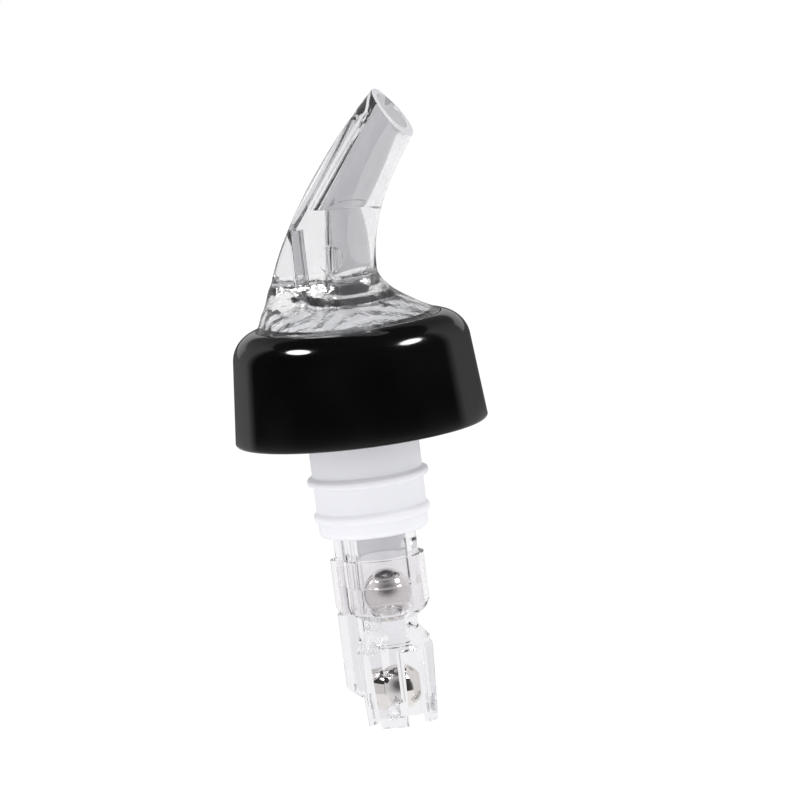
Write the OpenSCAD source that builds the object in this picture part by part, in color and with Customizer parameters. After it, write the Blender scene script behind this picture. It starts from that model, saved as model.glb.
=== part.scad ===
// Measured liquor pourer: a spout for a bottle's neck that ends each pour by itself.
// Turned over, a check ball shuts the inlet and a control ball creeps up the tube to the spout.
// z = 0 is the bottle's lip, +Z runs up the neck's axis and +X is the way the spout pours.

/* [Axes] */
// Offset of the balls' bore from the neck's axis, towards the mouth
bore_offset = 0.9; // [0.5:0.1:1.3]
// Offset of the vent from the neck's axis, away from the mouth
vent_offset = 5.8; // [5.6:0.1:6.4]

/* [Balls] */
// Diameter of each steel ball
ball_d = 7.938; // [7.6:0.001:8.2]
// Radial room for a ball in the tube and in the cage
ball_room = 0.18; // [0.12:0.01:0.3]
// Gap between a ball and the seat that it stops at
ball_gap = 0.05; // [0.02:0.01:0.1]

/* [Spout] */
// Inset of the flange that the collar clamps, from the collar's rim
flange_inset = 3.8; // [3.5:0.1:4.2]
// Thickness of that flange
flange_h = 2; // [1.5:0.1:3]
// Width of the flange's ledge, out from the register that stands in the collar's hole
flange_ledge = 1.9; // [1.5:0.1:2.3]
// Step from the register in to the foot of the skirt
skirt_step = 0.1; // [0.05:0.05:0.3]
// Slope of the skirt at its front, from level
skirt_slope = 26.5; // [22:0.5:32]
// Lean of the skirt's back, from upright
skirt_lean = 22; // [18:0.5:25]
// Height of the skirt above the collar, up to the stem
skirt_h = 8; // [7:0.1:9]
// Wall of the hollow skirt
skirt_wall = 1.7; // [1.2:0.1:2.2]
// Height of the hollow inside the skirt, above the collar
hollow_h = 2.8; // [2:0.1:3.4]
// Radius of the stem round the bore, at its foot
stem_r = 4.9; // [4.6:0.1:5.4]
// Radius of the mouth's front
mouth_r = 4.4; // [4.2:0.1:4.6]
// Radius of the fin's back at the foot
fin_foot_r = 2.3; // [2:0.1:3]
// Radius of the fin's back at the tip
fin_tip_r = 3.3; // [2.8:0.1:3.6]
// Reach of the spout's tip from the neck's axis
tip_x = 8.9; // [8:0.1:10]
// Height of the tip above the collar
tip_h = 37.6; // [35:0.1:41]
// Width of the mouth from tip to lip, measured level
mouth_reach = 5.6; // [5:0.1:6.2]
// Drop of the mouth from tip to lip
mouth_drop = 8.3; // [7.8:0.1:8.8]
// Rounding of the mouth's edge
lip_r = 0.5; // [0.3:0.1:0.7]
// Lean of the back at its foot, from upright
back_foot_lean = 20.3; // [18:0.1:23]
// Lean of the back at the tip
back_tip_lean = 46; // [42:0.5:48]
// Length over which the back keeps its foot's lean
back_foot_pull = 10.7; // [9:0.1:12]
// Length over which the back keeps its tip's lean
back_tip_pull = 11.4; // [10:0.1:12]
// Lean of the front at the lip
front_lip_lean = 34.5; // [30:0.5:38]
// Length over which the front stays upright at its foot
front_foot_pull = 9; // [8:0.1:10]
// Length over which the front keeps its lip's lean
front_lip_pull = 7; // [6:0.1:8]
// Wall of the socket that holds the measuring tube
socket_wall = 1.2; // [0.9:0.1:1.5]
// Height of the socket's ceiling above the collar
ceiling_h = 4; // [3.5:0.1:4.3]
// Height of the control ball's upper seat above that ceiling
seat_rise = 3.3; // [3:0.1:3.6]
// Radius of the spout's bore at the seat
seat_bore_r = 3.6; // [3.4:0.05:3.7]
// Radius of that bore at the knee
knee_bore_r = 3.2; // [3:0.05:3.3]
// Place of the knee up the stem, 0 at the foot and 1 at the tip
knee_place = 0.368; // [0.34:0.002:0.4]
// Radius of the bore from the knee to the mouth
mouth_bore_r = 3.5; // [3.2:0.05:3.55]
// Shift of that bore from the mouth's middle, towards the lip
mouth_bore_shift = 0.4; // [0.2:0.05:0.5]
// Place where the thin vent leaves its well, along the back, 0 at the foot and 1 at the tip
vent_start_place = 0.286; // [0.26:0.002:0.3]
// Depth of that place below the back
vent_start_depth = 1.1; // [1:0.02:1.2]
// Radius of the thin vent
vent_stem_r = 0.6; // [0.4:0.05:0.65]
// Radius of the well at the socket
vent_well_foot_r = 1.45; // [1.3:0.05:1.5]
// Radius of the well at its flat top
vent_well_top_r = 1.35; // [1.2:0.05:1.4]
// Step from the thin vent's start forward to the well's axis
vent_well_step = 0.25; // [0.1:0.05:0.4]
// Depth of the well's top below the thin vent's start
vent_well_drop = 0.6; // [0.4:0.05:0.7]
// Place of the vent's outlet along the back, 0 at the foot and 1 at the tip
outlet_place = 0.866; // [0.85:0.002:0.88]
// Depth of the vent below the back, at its outlet
outlet_depth = 1; // [0.9:0.05:1.1]
// Radius of the outlet, a level hole in the back
outlet_r = 1.05; // [0.9:0.05:1.15]
// Radius of the round moulding mark on the stem
mark_r = 2.4; // [2:0.1:2.5]
// Depth of the moulding mark
mark_depth = 0.35; // [0.2:0.05:0.5]
// Height of the moulding mark above the collar
mark_h = 10.8; // [10.5:0.1:12]
// Step from the bore's axis back to the moulding mark
mark_step = 1.4; // [1:0.1:1.8]

/* [Collar] */
// Radius of the collar at its rim
collar_r = 21; // [18.9:0.1:23.1]
// Depth of the rim below the bottle's lip
collar_drop = 9.5; // [8:0.1:12]
// Draft of the collar's side
collar_draft = 5.2; // [4.5:0.1:5.4]
// Radius of the rounded shoulder
shoulder_r = 5; // [4.5:0.1:5.2]
// Wall of the collar's side
collar_wall = 1.8; // [1.4:0.1:2]
// Thickness of the collar's top
collar_top_h = 2.45; // [2:0.05:3]
// Rounding of the rim
rim_r = 0.4; // [0.2:0.1:0.6]
// Grip of the bead under the spout's flange
bead_grip = 0.2; // [0.1:0.05:0.4]
// Height of the bead
bead_h = 0.8; // [0.6:0.1:1]

/* [Cork] */
// Inset of the flange that seats on the bottle's lip, from the spout's flange
cork_inset = 1.2; // [0.6:0.1:2.2]
// Thickness of that flange
cork_flange_h = 4.5; // [3.5:0.1:6]
// Gap round the cork's boss, which fills the spout's hollow skirt
boss_gap = 0.3; // [0.2:0.05:0.5]
// Radius of the plug below the flange
plug_r = 9.25; // [9:0.05:9.6]
// Taper of the plug, on its radius
plug_taper = 0.15; // [0:0.05:0.3]
// Length of the plug below the bottle's lip
plug_h = 26.4; // [23.8:0.1:29]
// Rounding of the plug's lower edge
plug_edge_r = 0.9; // [0.5:0.1:1.2]
// Radius of the upper rib, which grips the bottle's neck
upper_rib_r = 10.1; // [9.9:0.05:10.4]
// Height of the upper rib above the plug's lower end
upper_rib_up = 9.3; // [8.4:0.1:11.4]
// Radius of the lower rib
lower_rib_r = 9.7; // [9.5:0.05:9.85]
// Height of the lower rib above the plug's lower end
lower_rib_up = 3.3; // [2.4:0.1:5.4]
// Width of a rib's crest
rib_crest = 0.9; // [0.7:0.1:1.2]
// Width of a rib at its root
rib_root = 1.9; // [1.6:0.1:2.4]

/* [Measuring tube] */
// Wall of the tube round the balls' bore
tube_wall = 1.75; // [1.5:0.05:2]
// Radius of the vent's bore
vent_r = 0.8; // [0.6:0.05:0.9]
// Wall of the tube round the vent
vent_wall = 0.65; // [0.5:0.05:0.8]
// Share of the tube's and vent's radii that the web between them spans
web_share = 0.9; // [0.85:0.01:0.95]
// Reach of the tube below the cork's plug
tube_reach = 8.8; // [8.2:0.1:11.6]
// Width of the inlet slot
inlet_w = 3.3; // [2.8:0.1:3.8]
// Height of the inlet slot above the coupling sleeve
inlet_window = 2.4; // [2:0.1:2.8]
// Turn of the inlet slot round the bore, from the back towards the mouth's side
inlet_turn = 65; // [50:5:70]

/* [Coupling sleeve] */
// Wall of the sleeve
sleeve_wall = 0.85; // [0.7:0.05:1.2]
// Length of the tube that the sleeve holds
sleeve_grip = 4.6; // [4:0.1:5]
// Length of the valve cage that the sleeve holds
cage_grip = 4.6; // [4:0.1:4.8]
// Height of the chamfer at the sleeve's lower edge
sleeve_chamfer_h = 1.2; // [0.8:0.1:1.5]
// Depth of that chamfer
sleeve_chamfer = 0.65; // [0.4:0.05:0.7]

/* [Valve cage] */
// Depth of the control ball's pocket, down to the flat floor round its seat
pocket_h = 4.06; // [3.8:0.01:4.2]
// Outer radius of the two sloping seats
cage_seat_r = 2.95; // [2.9:0.05:3.2]
// Radius of the throat between the two seats
throat_r = 2.3; // [2:0.05:2.5]
// Length of the throat
throat_h = 5; // [4.5:0.1:5.5]
// Height of the cage's plug, with its tapered underside
cage_plug_h = 5.8; // [5.6:0.1:6.2]
// Height of the tapered underside
cage_taper_h = 1; // [0.8:0.1:1.2]
// Radius of the neck between the plug and the shoulder
neck_r = 4.4; // [4.1:0.05:4.6]
// Height of the neck
neck_h = 1.6; // [1.4:0.1:2]
// Height of the conical shoulder below the neck
cage_shoulder_h = 2.1; // [1.8:0.1:2.4]
// Height of the rim round the shoulder, and of the flare below it
cage_rim_h = 0.7; // [0.5:0.1:0.9]
// Step from the rim out to the fingers
cage_rim_step = 0.4; // [0.2:0.05:0.6]
// Wall of the fingers below the rim
finger_wall = 2.3; // [2.1:0.05:2.5]
// Taper of the fingers, on their radius
finger_taper = 0.65; // [0.4:0.05:0.8]
// Length of the fingers below the shoulder
finger_h = 14; // [13.5:0.1:15]
// Width of the slots between the fingers
slot_w = 3.95; // [3.5:0.05:4.1]
// Height of solid wall between the shoulder and the slots
slot_top = 1.5; // [1.2:0.1:2]
// Travel of the check ball from the nubs up to its seat
check_travel = 4.6; // [4:0.1:5]
// Reach of the nubs into the cage
nub_reach = 0.95; // [0.8:0.05:1.1]
// Height of the nubs
nub_h = 2; // [1.6:0.1:2.2]
// Radius of the round dimple outside each nub
dimple_r = 1.05; // [0.8:0.05:1.2]
// Depth of the dimples
dimple_depth = 0.9; // [0.6:0.05:1.1]
// Radius of the vent's tail
tail_r = 2.25; // [1.9:0.05:2.4]
// Length of the tail below the coupling sleeve
tail_h = 15; // [14:0.1:16]
// Slant of the tail's end, from level
tail_slant = 32; // [20:1:36]

/* [Clearances] */
// Gap between pieces that are pressed or bonded together
fit_gap = 0.05; // [0.03:0.01:0.1]
// Radial gap between the collar's hole and the spout's register
register_gap = 0.15; // [0.1:0.05:0.3]

/* [Hidden] */
$fn = 64;

// Sides, rings and steps of the smooth shapes
section_sides = 40;
skirt_rings = 7;
stem_rings = 16;
lip_rings = 3;
shoulder_steps = 12;
edge_steps = 4;

// Length by which a cut runs past the face that it opens
cut_past = 1;
// Depth by which one shape is let into another that it joins
let_in = 0.5;

clear_plastic = [0.86, 0.88, 0.9, 0.45];
milky_plastic = [0.92, 0.9, 0.9, 0.7];
white_plastic = [0.93, 0.93, 0.95];
black_plastic = [0.05, 0.05, 0.055];
polished_steel = [0.7, 0.68, 0.66];

ball_r = ball_d / 2;
ball_bore_r = ball_r + ball_room;
tube_r = ball_bore_r + tube_wall;
vent_boss_r = vent_r + vent_wall;

// Flanges of the spout and the cork, stepped in from the collar that holds them
flange_r = collar_r - flange_inset;
register_r = flange_r - flange_ledge;
cork_flange_r = flange_r - cork_inset;

// Heights of the stack on the bottle's lip
flange_z = cork_flange_h;
flange_top_z = flange_z + flange_h;
plate_z = flange_top_z + fit_gap;
collar_top_z = plate_z + collar_top_h;
ceiling_z = collar_top_z + ceiling_h;
seat_z = ceiling_z + seat_rise;
mark_z = collar_top_z + mark_h;

// Profile of the skirt, from the collar up to the stem
skirt_r = register_r - skirt_step;
stem_z = collar_top_z + skirt_h;
stem_front_x = bore_offset + stem_r;
stem_back_x = -skirt_r + skirt_h * tan(skirt_lean);
skirt_front = [
    [skirt_r, collar_top_z],
    [stem_front_x, collar_top_z + (skirt_r - stem_front_x) * tan(skirt_slope)],
    [stem_front_x, stem_z]
];

// Back and front profiles of the stem, from the skirt up to the mouth, as [x, z]
stem_back = [stem_back_x, stem_z];
stem_front = [stem_front_x, stem_z];
tip = [tip_x, collar_top_z + tip_h];
lip = tip + [mouth_reach, -mouth_drop];
back_curve = [
    stem_back,
    stem_back + back_foot_pull * [sin(back_foot_lean), cos(back_foot_lean)],
    tip - back_tip_pull * [sin(back_tip_lean), cos(back_tip_lean)],
    tip
];
front_curve = [
    stem_front,
    stem_front + [0, front_foot_pull],
    lip - front_lip_pull * [sin(front_lip_lean), cos(front_lip_lean)],
    lip
];

// Upper bore, from the knee to the mouth
knee = [bore_offset, mix(stem_z, tip.y, knee_place)];
mouth_bore_end = mix(tip, lip, 1 / 2 + mouth_bore_shift / norm(lip - tip));
mouth_bore_way = (mouth_bore_end - knee) / norm(mouth_bore_end - knee);
mouth_bore_lean = atan2(mouth_bore_way.x, mouth_bore_way.y);
mouth_bore_h = norm(mouth_bore_end - knee) + norm(lip - tip) / 2;

// Vent in the spout: an upright well, then a thin bore up to the outlet in the back
vent_start = below_back(vent_start_place, vent_start_depth);
vent_end = below_back(outlet_place, outlet_depth);
vent_way = (vent_end - vent_start) / norm(vent_end - vent_start);
vent_lean = atan2(vent_way.x, vent_way.y);
vent_h = norm(vent_end - vent_start);
vent_well_top_z = vent_start.y - vent_well_drop;

// Collar
hole_r = register_r + register_gap;
shoulder_z = collar_top_z - shoulder_r;
shoulder_x = collar_r - (shoulder_z + collar_drop) * tan(collar_draft) - shoulder_r / cos(collar_draft);
shoulder_end = acos((hole_r - shoulder_x) / shoulder_r);
groove_r = flange_r + 2 * fit_gap;
bead_r = flange_r - bead_grip;
bead_z = flange_z - fit_gap;
inner_rim_r = collar_r - collar_wall;

// Tube, sleeve and cage, all measured down from the bottle's lip
tube_low_z = -plug_h - tube_reach;
tube_top_z = ceiling_z - fit_gap;
sleeve_top_z = tube_low_z + sleeve_grip;
sleeve_low_z = tube_low_z - cage_grip;
inlet_top_z = sleeve_top_z + inlet_window;
sleeve_r = tube_r + fit_gap + sleeve_wall;

cage_top_z = tube_low_z - fit_gap;
pocket_z = cage_top_z - pocket_h;
upper_seat_z = pocket_z - (cage_seat_r - throat_r);
throat_low_z = upper_seat_z - throat_h;
lower_seat_z = throat_low_z - (cage_seat_r - throat_r);
cage_plug_z = cage_top_z - cage_plug_h;
neck_low_z = cage_plug_z - neck_h;
finger_top_z = neck_low_z - cage_shoulder_h;
finger_low_z = finger_top_z - finger_h;
finger_r = ball_bore_r + finger_wall;
slot_top_z = finger_top_z - slot_top;
tail_low_z = sleeve_low_z - tail_h;

// Rest places of the balls: both seats slope at 45 degrees
seat_reach = ball_r * sqrt(2);
control_ball_z = upper_seat_z - throat_r + seat_reach + ball_gap;
check_ball_shut_z = throat_low_z + throat_r - seat_reach - ball_gap;
check_ball_z = check_ball_shut_z - check_travel;
nub_r = ball_bore_r - nub_reach;
nub_z = check_ball_z - sqrt(ball_r * ball_r - nub_r * nub_r) - ball_gap;

function mix(a, b, share) = a + (b - a) * share;

function bezier2(p, t) = mix(mix(p[0], p[1], t), mix(p[1], p[2], t), t);

function bezier3(p, t) = mix(bezier2([p[0], p[1], p[2]], t), bezier2([p[1], p[2], p[3]], t), t);

// Direction of a cubic curve
function bezier3_way(p, t) =
    let (along = bezier2([p[1] - p[0], p[2] - p[1], p[3] - p[2]], t))
    along / norm(along);

// Point at a depth below the stem's back, square to it
function below_back(place, depth) =
    let (way = bezier3_way(back_curve, place))
    bezier3(back_curve, place) + depth * [way.y, -way.x];

function arc_points(middle, radius, from, to, steps) =
    [for (i = [0 : steps]) let (a = mix(from, to, i / steps)) middle + radius * [cos(a), sin(a)]];

// Section of the spout as [along, across] points: the outline round a front circle and a fin circle
function section(length, fin_r, front_r) =
    [for (i = [0 : section_sides - 1])
        let (
            a = 360 * i / section_sides,
            front_x = length - front_r,
            at_front = front_x * cos(a) + front_r > fin_r * cos(a) + fin_r
        )
        at_front ? [front_x + front_r * cos(a), front_r * sin(a)]
                 : [fin_r + fin_r * cos(a), fin_r * sin(a)]];

// The section set between a back and a front point of the profile, drawn in by inset
function ring(back, front, fin_r, front_r, inset = 0) =
    let (way = (front - back) / norm(front - back), start = back + inset * way)
    [for (p = section(norm(front - back) - 2 * inset, fin_r - inset, front_r - inset))
        [start.x + way.x * p.x, p.y, start.y + way.y * p.x]];

function skirt_ring(t, inset = 0) =
    let (
        front = bezier2(skirt_front, t),
        back = [-skirt_r + (front.y - collar_top_z) * tan(skirt_lean), front.y],
        spread = (front.x - stem_front_x) / (skirt_r - stem_front_x)
    )
    ring(back, front, mix(fin_foot_r, skirt_r, spread), mix(stem_r, skirt_r, spread), inset);

function stem_ring(t) =
    ring(bezier3(back_curve, t), bezier3(front_curve, t), mix(fin_foot_r, fin_tip_r, t * t),
         mix(stem_r, mouth_r, t));

// Ring of the rounded edge, a degrees round from the stem's side to the mouth's face
function lip_ring(a) =
    let (
        way = (lip - tip) / norm(lip - tip),
        rise = lip_r * sin(a) * [-way.y, way.x]
    )
    [for (p = ring(tip, lip, fin_tip_r, mouth_r, lip_r * (1 - cos(a)))) p + [rise.x, 0, rise.y]];

function moved(points, by) = [for (p = points) p + by];

// Place on the skirt's front curve that lies at a given height above the collar
function skirt_place(rise) =
    let (
        middle = skirt_front[1].y - collar_top_z,
        bend = skirt_h - 2 * middle
    )
    rise / (middle + sqrt(middle * middle + bend * rise));

// Closed solid through a list of rings that all have the same number of points
module loft(rings) {
    sides = len(rings[0]);
    last = len(rings) - 1;
    sides_faces = [
        for (k = [0 : last - 1], i = [0 : sides - 1])
            let (j = (i + 1) % sides, low = k * sides, high = low + sides)
            each [[low + i, high + i, high + j], [low + i, high + j, low + j]]
    ];
    bottom_face = [for (i = [0 : sides - 1]) i];
    top_face = [for (i = [sides - 1 : -1 : 0]) last * sides + i];
    polyhedron(points = [for (r = rings) each r], faces = concat(sides_faces, [bottom_face, top_face]));
}

// Round bar or cone in the XZ plane from a point [x, z], leaning from upright towards +X
module leaning_bar(start, lean, length, start_r, end_r) {
    translate([start.x, 0, start.y])
        rotate([0, lean, 0])
            cylinder(r1 = start_r, r2 = end_r, h = length);
}

// Web that joins the tube round the bore to the smaller tube round the vent
module web_prism(grow, low_z, high_z) {
    bore_w = web_share * tube_r + grow;
    vent_w = web_share * vent_boss_r + grow;
    translate([0, 0, low_z])
        linear_extrude(high_z - low_z)
            polygon([
                [bore_offset, -bore_w],
                [bore_offset, bore_w],
                [-vent_offset, vent_w],
                [-vent_offset, -vent_w]
            ]);
}

module vent_prism(grow, low_z, high_z) {
    web_prism(grow, low_z, high_z);
    translate([-vent_offset, 0, low_z])
        cylinder(r = vent_boss_r + grow, h = high_z - low_z);
}

// Outside of the tube and its vent, grown by a clearance or a wall
module tube_prism(grow, low_z, high_z) {
    vent_prism(grow, low_z, high_z);
    translate([bore_offset, 0, low_z])
        cylinder(r = tube_r + grow, h = high_z - low_z);
}

module vent_bore(low_z, high_z) {
    translate([-vent_offset, 0, low_z])
        cylinder(r = vent_r, h = high_z - low_z);
}

module spout_outside() {
    skirt = [for (i = [0 : skirt_rings]) skirt_ring(i / skirt_rings)];
    stem = [for (i = [1 : stem_rings]) stem_ring(i / stem_rings)];
    edge = [for (i = [1 : lip_rings]) lip_ring(90 * i / lip_rings)];
    loft(concat([moved(skirt[0], [0, 0, -let_in])], skirt, stem, edge));
    translate([0, 0, flange_z])
        cylinder(r = flange_r, h = flange_h);
    translate([0, 0, flange_z])
        cylinder(r = register_r, h = collar_top_z - flange_z);
}

// Inside of the skirt round the tube's socket, drawn in from the skirt's face by inset
module skirt_inside(inset, low_z, rise, socket_grow) {
    top_place = skirt_place(rise);
    rings = [for (i = [0 : skirt_rings]) skirt_ring(top_place * i / skirt_rings, inset)];
    difference() {
        union() {
            loft(concat([moved(rings[0], [0, 0, -2 * let_in])], rings));
            translate([0, 0, low_z])
                cylinder(r = register_r - inset, h = collar_top_z - let_in - low_z);
        }
        tube_prism(socket_grow, low_z - cut_past, ceiling_z);
    }
}

module spout_bore() {
    translate([bore_offset, 0, ceiling_z - cut_past])
        cylinder(r = ball_bore_r, h = seat_rise + cut_past);
    translate([bore_offset, 0, seat_z - cut_past])
        cylinder(r = seat_bore_r, h = cut_past);
    translate([bore_offset, 0, seat_z])
        cylinder(r1 = seat_bore_r, r2 = knee_bore_r, h = knee.y - seat_z);
    intersection() {
        leaning_bar(knee - mouth_bore_r * mouth_bore_way, mouth_bore_lean,
                    mouth_bore_h + 2 * mouth_bore_r, mouth_bore_r, mouth_bore_r);
        translate([-register_r, -register_r, knee.y])
            cube([2 * flange_r, 2 * register_r, tip.y]);
    }
}

module spout_vent() {
    translate([vent_start.x + vent_well_step, 0, ceiling_z - let_in])
        cylinder(r1 = vent_well_foot_r, r2 = vent_well_top_r, h = vent_well_top_z - ceiling_z + let_in);
    leaning_bar(vent_start - 2 * let_in * vent_way, vent_lean, vent_h + 2 * let_in, vent_stem_r, vent_stem_r);
    leaning_bar(vent_end, -90, outlet_depth + 2 * outlet_r + cut_past, outlet_r, outlet_r);
}

module moulding_mark() {
    translate([bore_offset - mark_step, mark_depth - stem_r, mark_z])
        rotate([90, 0, 0])
            cylinder(r = mark_r, h = stem_r);
}

module spout() {
    color(clear_plastic)
        difference() {
            spout_outside();
            skirt_inside(skirt_wall, flange_z - cut_past, hollow_h, fit_gap + socket_wall);
            tube_prism(fit_gap, flange_z - cut_past, ceiling_z);
            spout_bore();
            spout_vent();
            moulding_mark();
        }
}

module collar() {
    outside = concat(
        arc_points([collar_r - rim_r, rim_r - collar_drop], rim_r, -90, 0, edge_steps),
        arc_points([shoulder_x, shoulder_z], shoulder_r, collar_draft, shoulder_end, shoulder_steps)
    );
    inside = [
        [hole_r, plate_z],
        [groove_r, plate_z],
        [groove_r, bead_z],
        [bead_r, bead_z],
        [bead_r, bead_z - bead_h],
        [inner_rim_r - (bead_z - 2 * bead_h + collar_drop) * tan(collar_draft), bead_z - 2 * bead_h],
        [inner_rim_r, -collar_drop]
    ];
    color(black_plastic)
        rotate_extrude()
            polygon(concat(outside, inside));
}

// Outline of one rib, from its lower root to its upper root, as [r, z] on the plug's side
function rib_points(depth, radius) = [
    [plug_side_r(depth + rib_root / 2), -depth - rib_root / 2],
    [radius, -depth - rib_crest / 2],
    [radius, -depth + rib_crest / 2],
    [plug_side_r(depth - rib_root / 2), -depth + rib_root / 2]
];

function plug_side_r(depth) = plug_r - plug_taper * depth / plug_h;

module cork() {
    edge_x = plug_side_r(plug_h - plug_edge_r) - plug_edge_r;
    color(white_plastic)
        difference() {
            union() {
                rotate_extrude()
                    polygon(concat(
                        [[0, -plug_h]],
                        arc_points([edge_x, plug_edge_r - plug_h], plug_edge_r, -90, 0, edge_steps),
                        rib_points(plug_h - lower_rib_up, lower_rib_r),
                        rib_points(plug_h - upper_rib_up, upper_rib_r),
                        [[plug_r, 0], [cork_flange_r, 0], [cork_flange_r, cork_flange_h], [0, cork_flange_h]]
                    ));
                skirt_inside(skirt_wall + boss_gap, cork_flange_h - let_in, hollow_h - boss_gap,
                             fit_gap + socket_wall + boss_gap);
            }
            tube_prism(fit_gap, -plug_h - cut_past, cork_flange_h + cut_past);
        }
}

// Slot in the tube's wall, open at its lower end and round at its top
module inlet_slot() {
    arch_z = inlet_top_z - inlet_w / 2;
    reach = tube_r + cut_past;
    translate([bore_offset, 0, 0])
        rotate([0, 0, -inlet_turn]) {
            translate([-inlet_w / 2, 0, tube_low_z - cut_past])
                cube([inlet_w, reach, arch_z - tube_low_z + cut_past]);
            translate([0, reach, arch_z])
                rotate([90, 0, 0])
                    cylinder(d = inlet_w, h = reach);
        }
}

module measuring_tube() {
    color(clear_plastic)
        difference() {
            tube_prism(0, tube_low_z, tube_top_z);
            translate([bore_offset, 0, tube_low_z - cut_past])
                cylinder(r = ball_bore_r, h = tube_top_z - tube_low_z + 2 * cut_past);
            vent_bore(tube_low_z - cut_past, tube_top_z + cut_past);
            inlet_slot();
        }
}

module coupling_sleeve() {
    color(milky_plastic)
        difference() {
            union() {
                vent_prism(fit_gap + sleeve_wall, sleeve_low_z + sleeve_chamfer_h, sleeve_top_z);
                vent_prism(fit_gap + sleeve_wall - sleeve_chamfer, sleeve_low_z, sleeve_top_z);
                translate([bore_offset, 0, sleeve_low_z + sleeve_chamfer_h])
                    cylinder(r = sleeve_r, h = sleeve_top_z - sleeve_low_z - sleeve_chamfer_h);
                translate([bore_offset, 0, sleeve_low_z])
                    cylinder(r1 = sleeve_r - sleeve_chamfer, r2 = sleeve_r, h = sleeve_chamfer_h);
            }
            tube_prism(fit_gap, sleeve_low_z - cut_past, sleeve_top_z + cut_past);
        }
}

// Wall of the cage round the bore, from the plug down to the fingers, with the nubs as a ring
module cage_barrel() {
    outside = [
        [tube_r, cage_top_z],
        [tube_r, cage_plug_z + cage_taper_h],
        [neck_r, cage_plug_z],
        [neck_r, neck_low_z],
        [finger_r - cage_rim_step, finger_top_z],
        [finger_r - cage_rim_step, finger_top_z - cage_rim_h],
        [finger_r, finger_top_z - 2 * cage_rim_h],
        [finger_r - finger_taper, finger_low_z]
    ];
    inside = [
        [ball_bore_r, finger_low_z],
        [ball_bore_r, nub_z - nub_h],
        [nub_r, nub_z - nub_h + nub_reach / 2],
        [nub_r, nub_z],
        [ball_bore_r, nub_z + nub_reach / 2],
        [ball_bore_r, lower_seat_z],
        [cage_seat_r, lower_seat_z],
        [throat_r, throat_low_z],
        [throat_r, upper_seat_z],
        [cage_seat_r, pocket_z],
        [ball_bore_r, pocket_z],
        [ball_bore_r, cage_top_z]
    ];
    translate([bore_offset, 0, 0])
        rotate_extrude()
            polygon(concat(outside, inside));
}

// Two crossed slots that part the four fingers
module finger_slots() {
    span = 2 * (finger_r + cut_past);
    for (turn = [45, 135])
        translate([bore_offset, 0, finger_low_z - cut_past])
            rotate([0, 0, turn])
                translate([-span / 2, -slot_w / 2, 0])
                    cube([span, slot_w, slot_top_z - finger_low_z + cut_past]);
}

// Drop-shaped dimples outside the nubs, except at the finger that carries the tail
module dimples() {
    dimple_z = nub_z - nub_h / 2;
    for (turn = [-90, 0, 90])
        translate([bore_offset, 0, dimple_z])
            rotate([0, 0, turn])
                translate([finger_r - finger_taper - dimple_depth, 0, 0])
                    rotate([90, 0, 90]) {
                        cylinder(r = dimple_r, h = dimple_depth + cut_past);
                        linear_extrude(dimple_depth + cut_past)
                            polygon([[-dimple_r, 0], [dimple_r, 0], [0, nub_h]]);
                    }
}

// Vent's tail, joined to the cage behind the neck and cut off on a slant
module vent_tail() {
    difference() {
        union() {
            translate([-vent_offset, 0, tail_low_z])
                cylinder(r = tail_r, h = sleeve_low_z - fit_gap - tail_low_z);
            translate([-vent_offset, -vent_boss_r, finger_top_z])
                cube([vent_offset + bore_offset - ball_bore_r, 2 * vent_boss_r,
                      sleeve_low_z - fit_gap - finger_top_z]);
        }
        translate([-vent_offset + tail_r, 0, tail_low_z])
            rotate([0, tail_slant, 0])
                translate([-4 * tail_r, -2 * tail_r, -2 * tail_r])
                    cube([4 * tail_r, 4 * tail_r, 2 * tail_r]);
    }
}

module valve_cage() {
    color(clear_plastic)
        difference() {
            union() {
                cage_barrel();
                difference() {
                    vent_prism(0, sleeve_low_z, cage_top_z);
                    translate([bore_offset, 0, sleeve_low_z - cut_past])
                        cylinder(r = (neck_r + tube_r) / 2, h = cage_grip + 2 * cut_past);
                }
                vent_tail();
            }
            vent_bore(tail_low_z - cut_past, cage_top_z + cut_past);
            finger_slots();
            dimples();
        }
}

module ball(z) {
    color(polished_steel)
        translate([bore_offset, 0, z])
            sphere(r = ball_r);
}

module control_ball() {
    ball(control_ball_z);
}

module check_ball() {
    ball(check_ball_z);
}

spout();
collar();
cork();
measuring_tube();
coupling_sleeve();
valve_cage();
control_ball();
check_ball();
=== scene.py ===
from math import acos, atan2, cos, pi, radians, sin, sqrt, tan

import bmesh
import bpy
from mathutils import Matrix, Vector


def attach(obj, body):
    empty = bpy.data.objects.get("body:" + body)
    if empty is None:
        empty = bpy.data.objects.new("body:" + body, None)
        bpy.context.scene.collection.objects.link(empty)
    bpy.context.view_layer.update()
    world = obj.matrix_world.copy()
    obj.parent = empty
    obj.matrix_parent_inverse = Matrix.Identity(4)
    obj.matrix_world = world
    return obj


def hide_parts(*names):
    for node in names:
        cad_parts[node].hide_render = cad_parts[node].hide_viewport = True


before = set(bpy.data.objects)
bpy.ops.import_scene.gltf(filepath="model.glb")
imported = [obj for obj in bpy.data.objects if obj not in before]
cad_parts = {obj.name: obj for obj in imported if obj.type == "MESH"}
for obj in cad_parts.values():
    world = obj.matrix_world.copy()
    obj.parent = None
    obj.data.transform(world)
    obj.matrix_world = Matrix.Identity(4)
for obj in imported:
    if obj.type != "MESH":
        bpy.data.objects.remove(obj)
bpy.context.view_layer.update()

# Sizes are in millimetres, as in the part's source, and are laid into the meshes in metres.
MM = 0.001
MERGE = 2e-7
CUT_PAST = 1.0
ORIGIN = (0, 0, 0)
UPRIGHT = (0, 0, 1)

# Axes of the ball bore and the vent
BORE_X = 0.9
VENT_X = -5.8

# Balls
BALL_R = 7.938 / 2
BALL_BORE_R = BALL_R + 0.18
BALL_CUTS = 31

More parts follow.
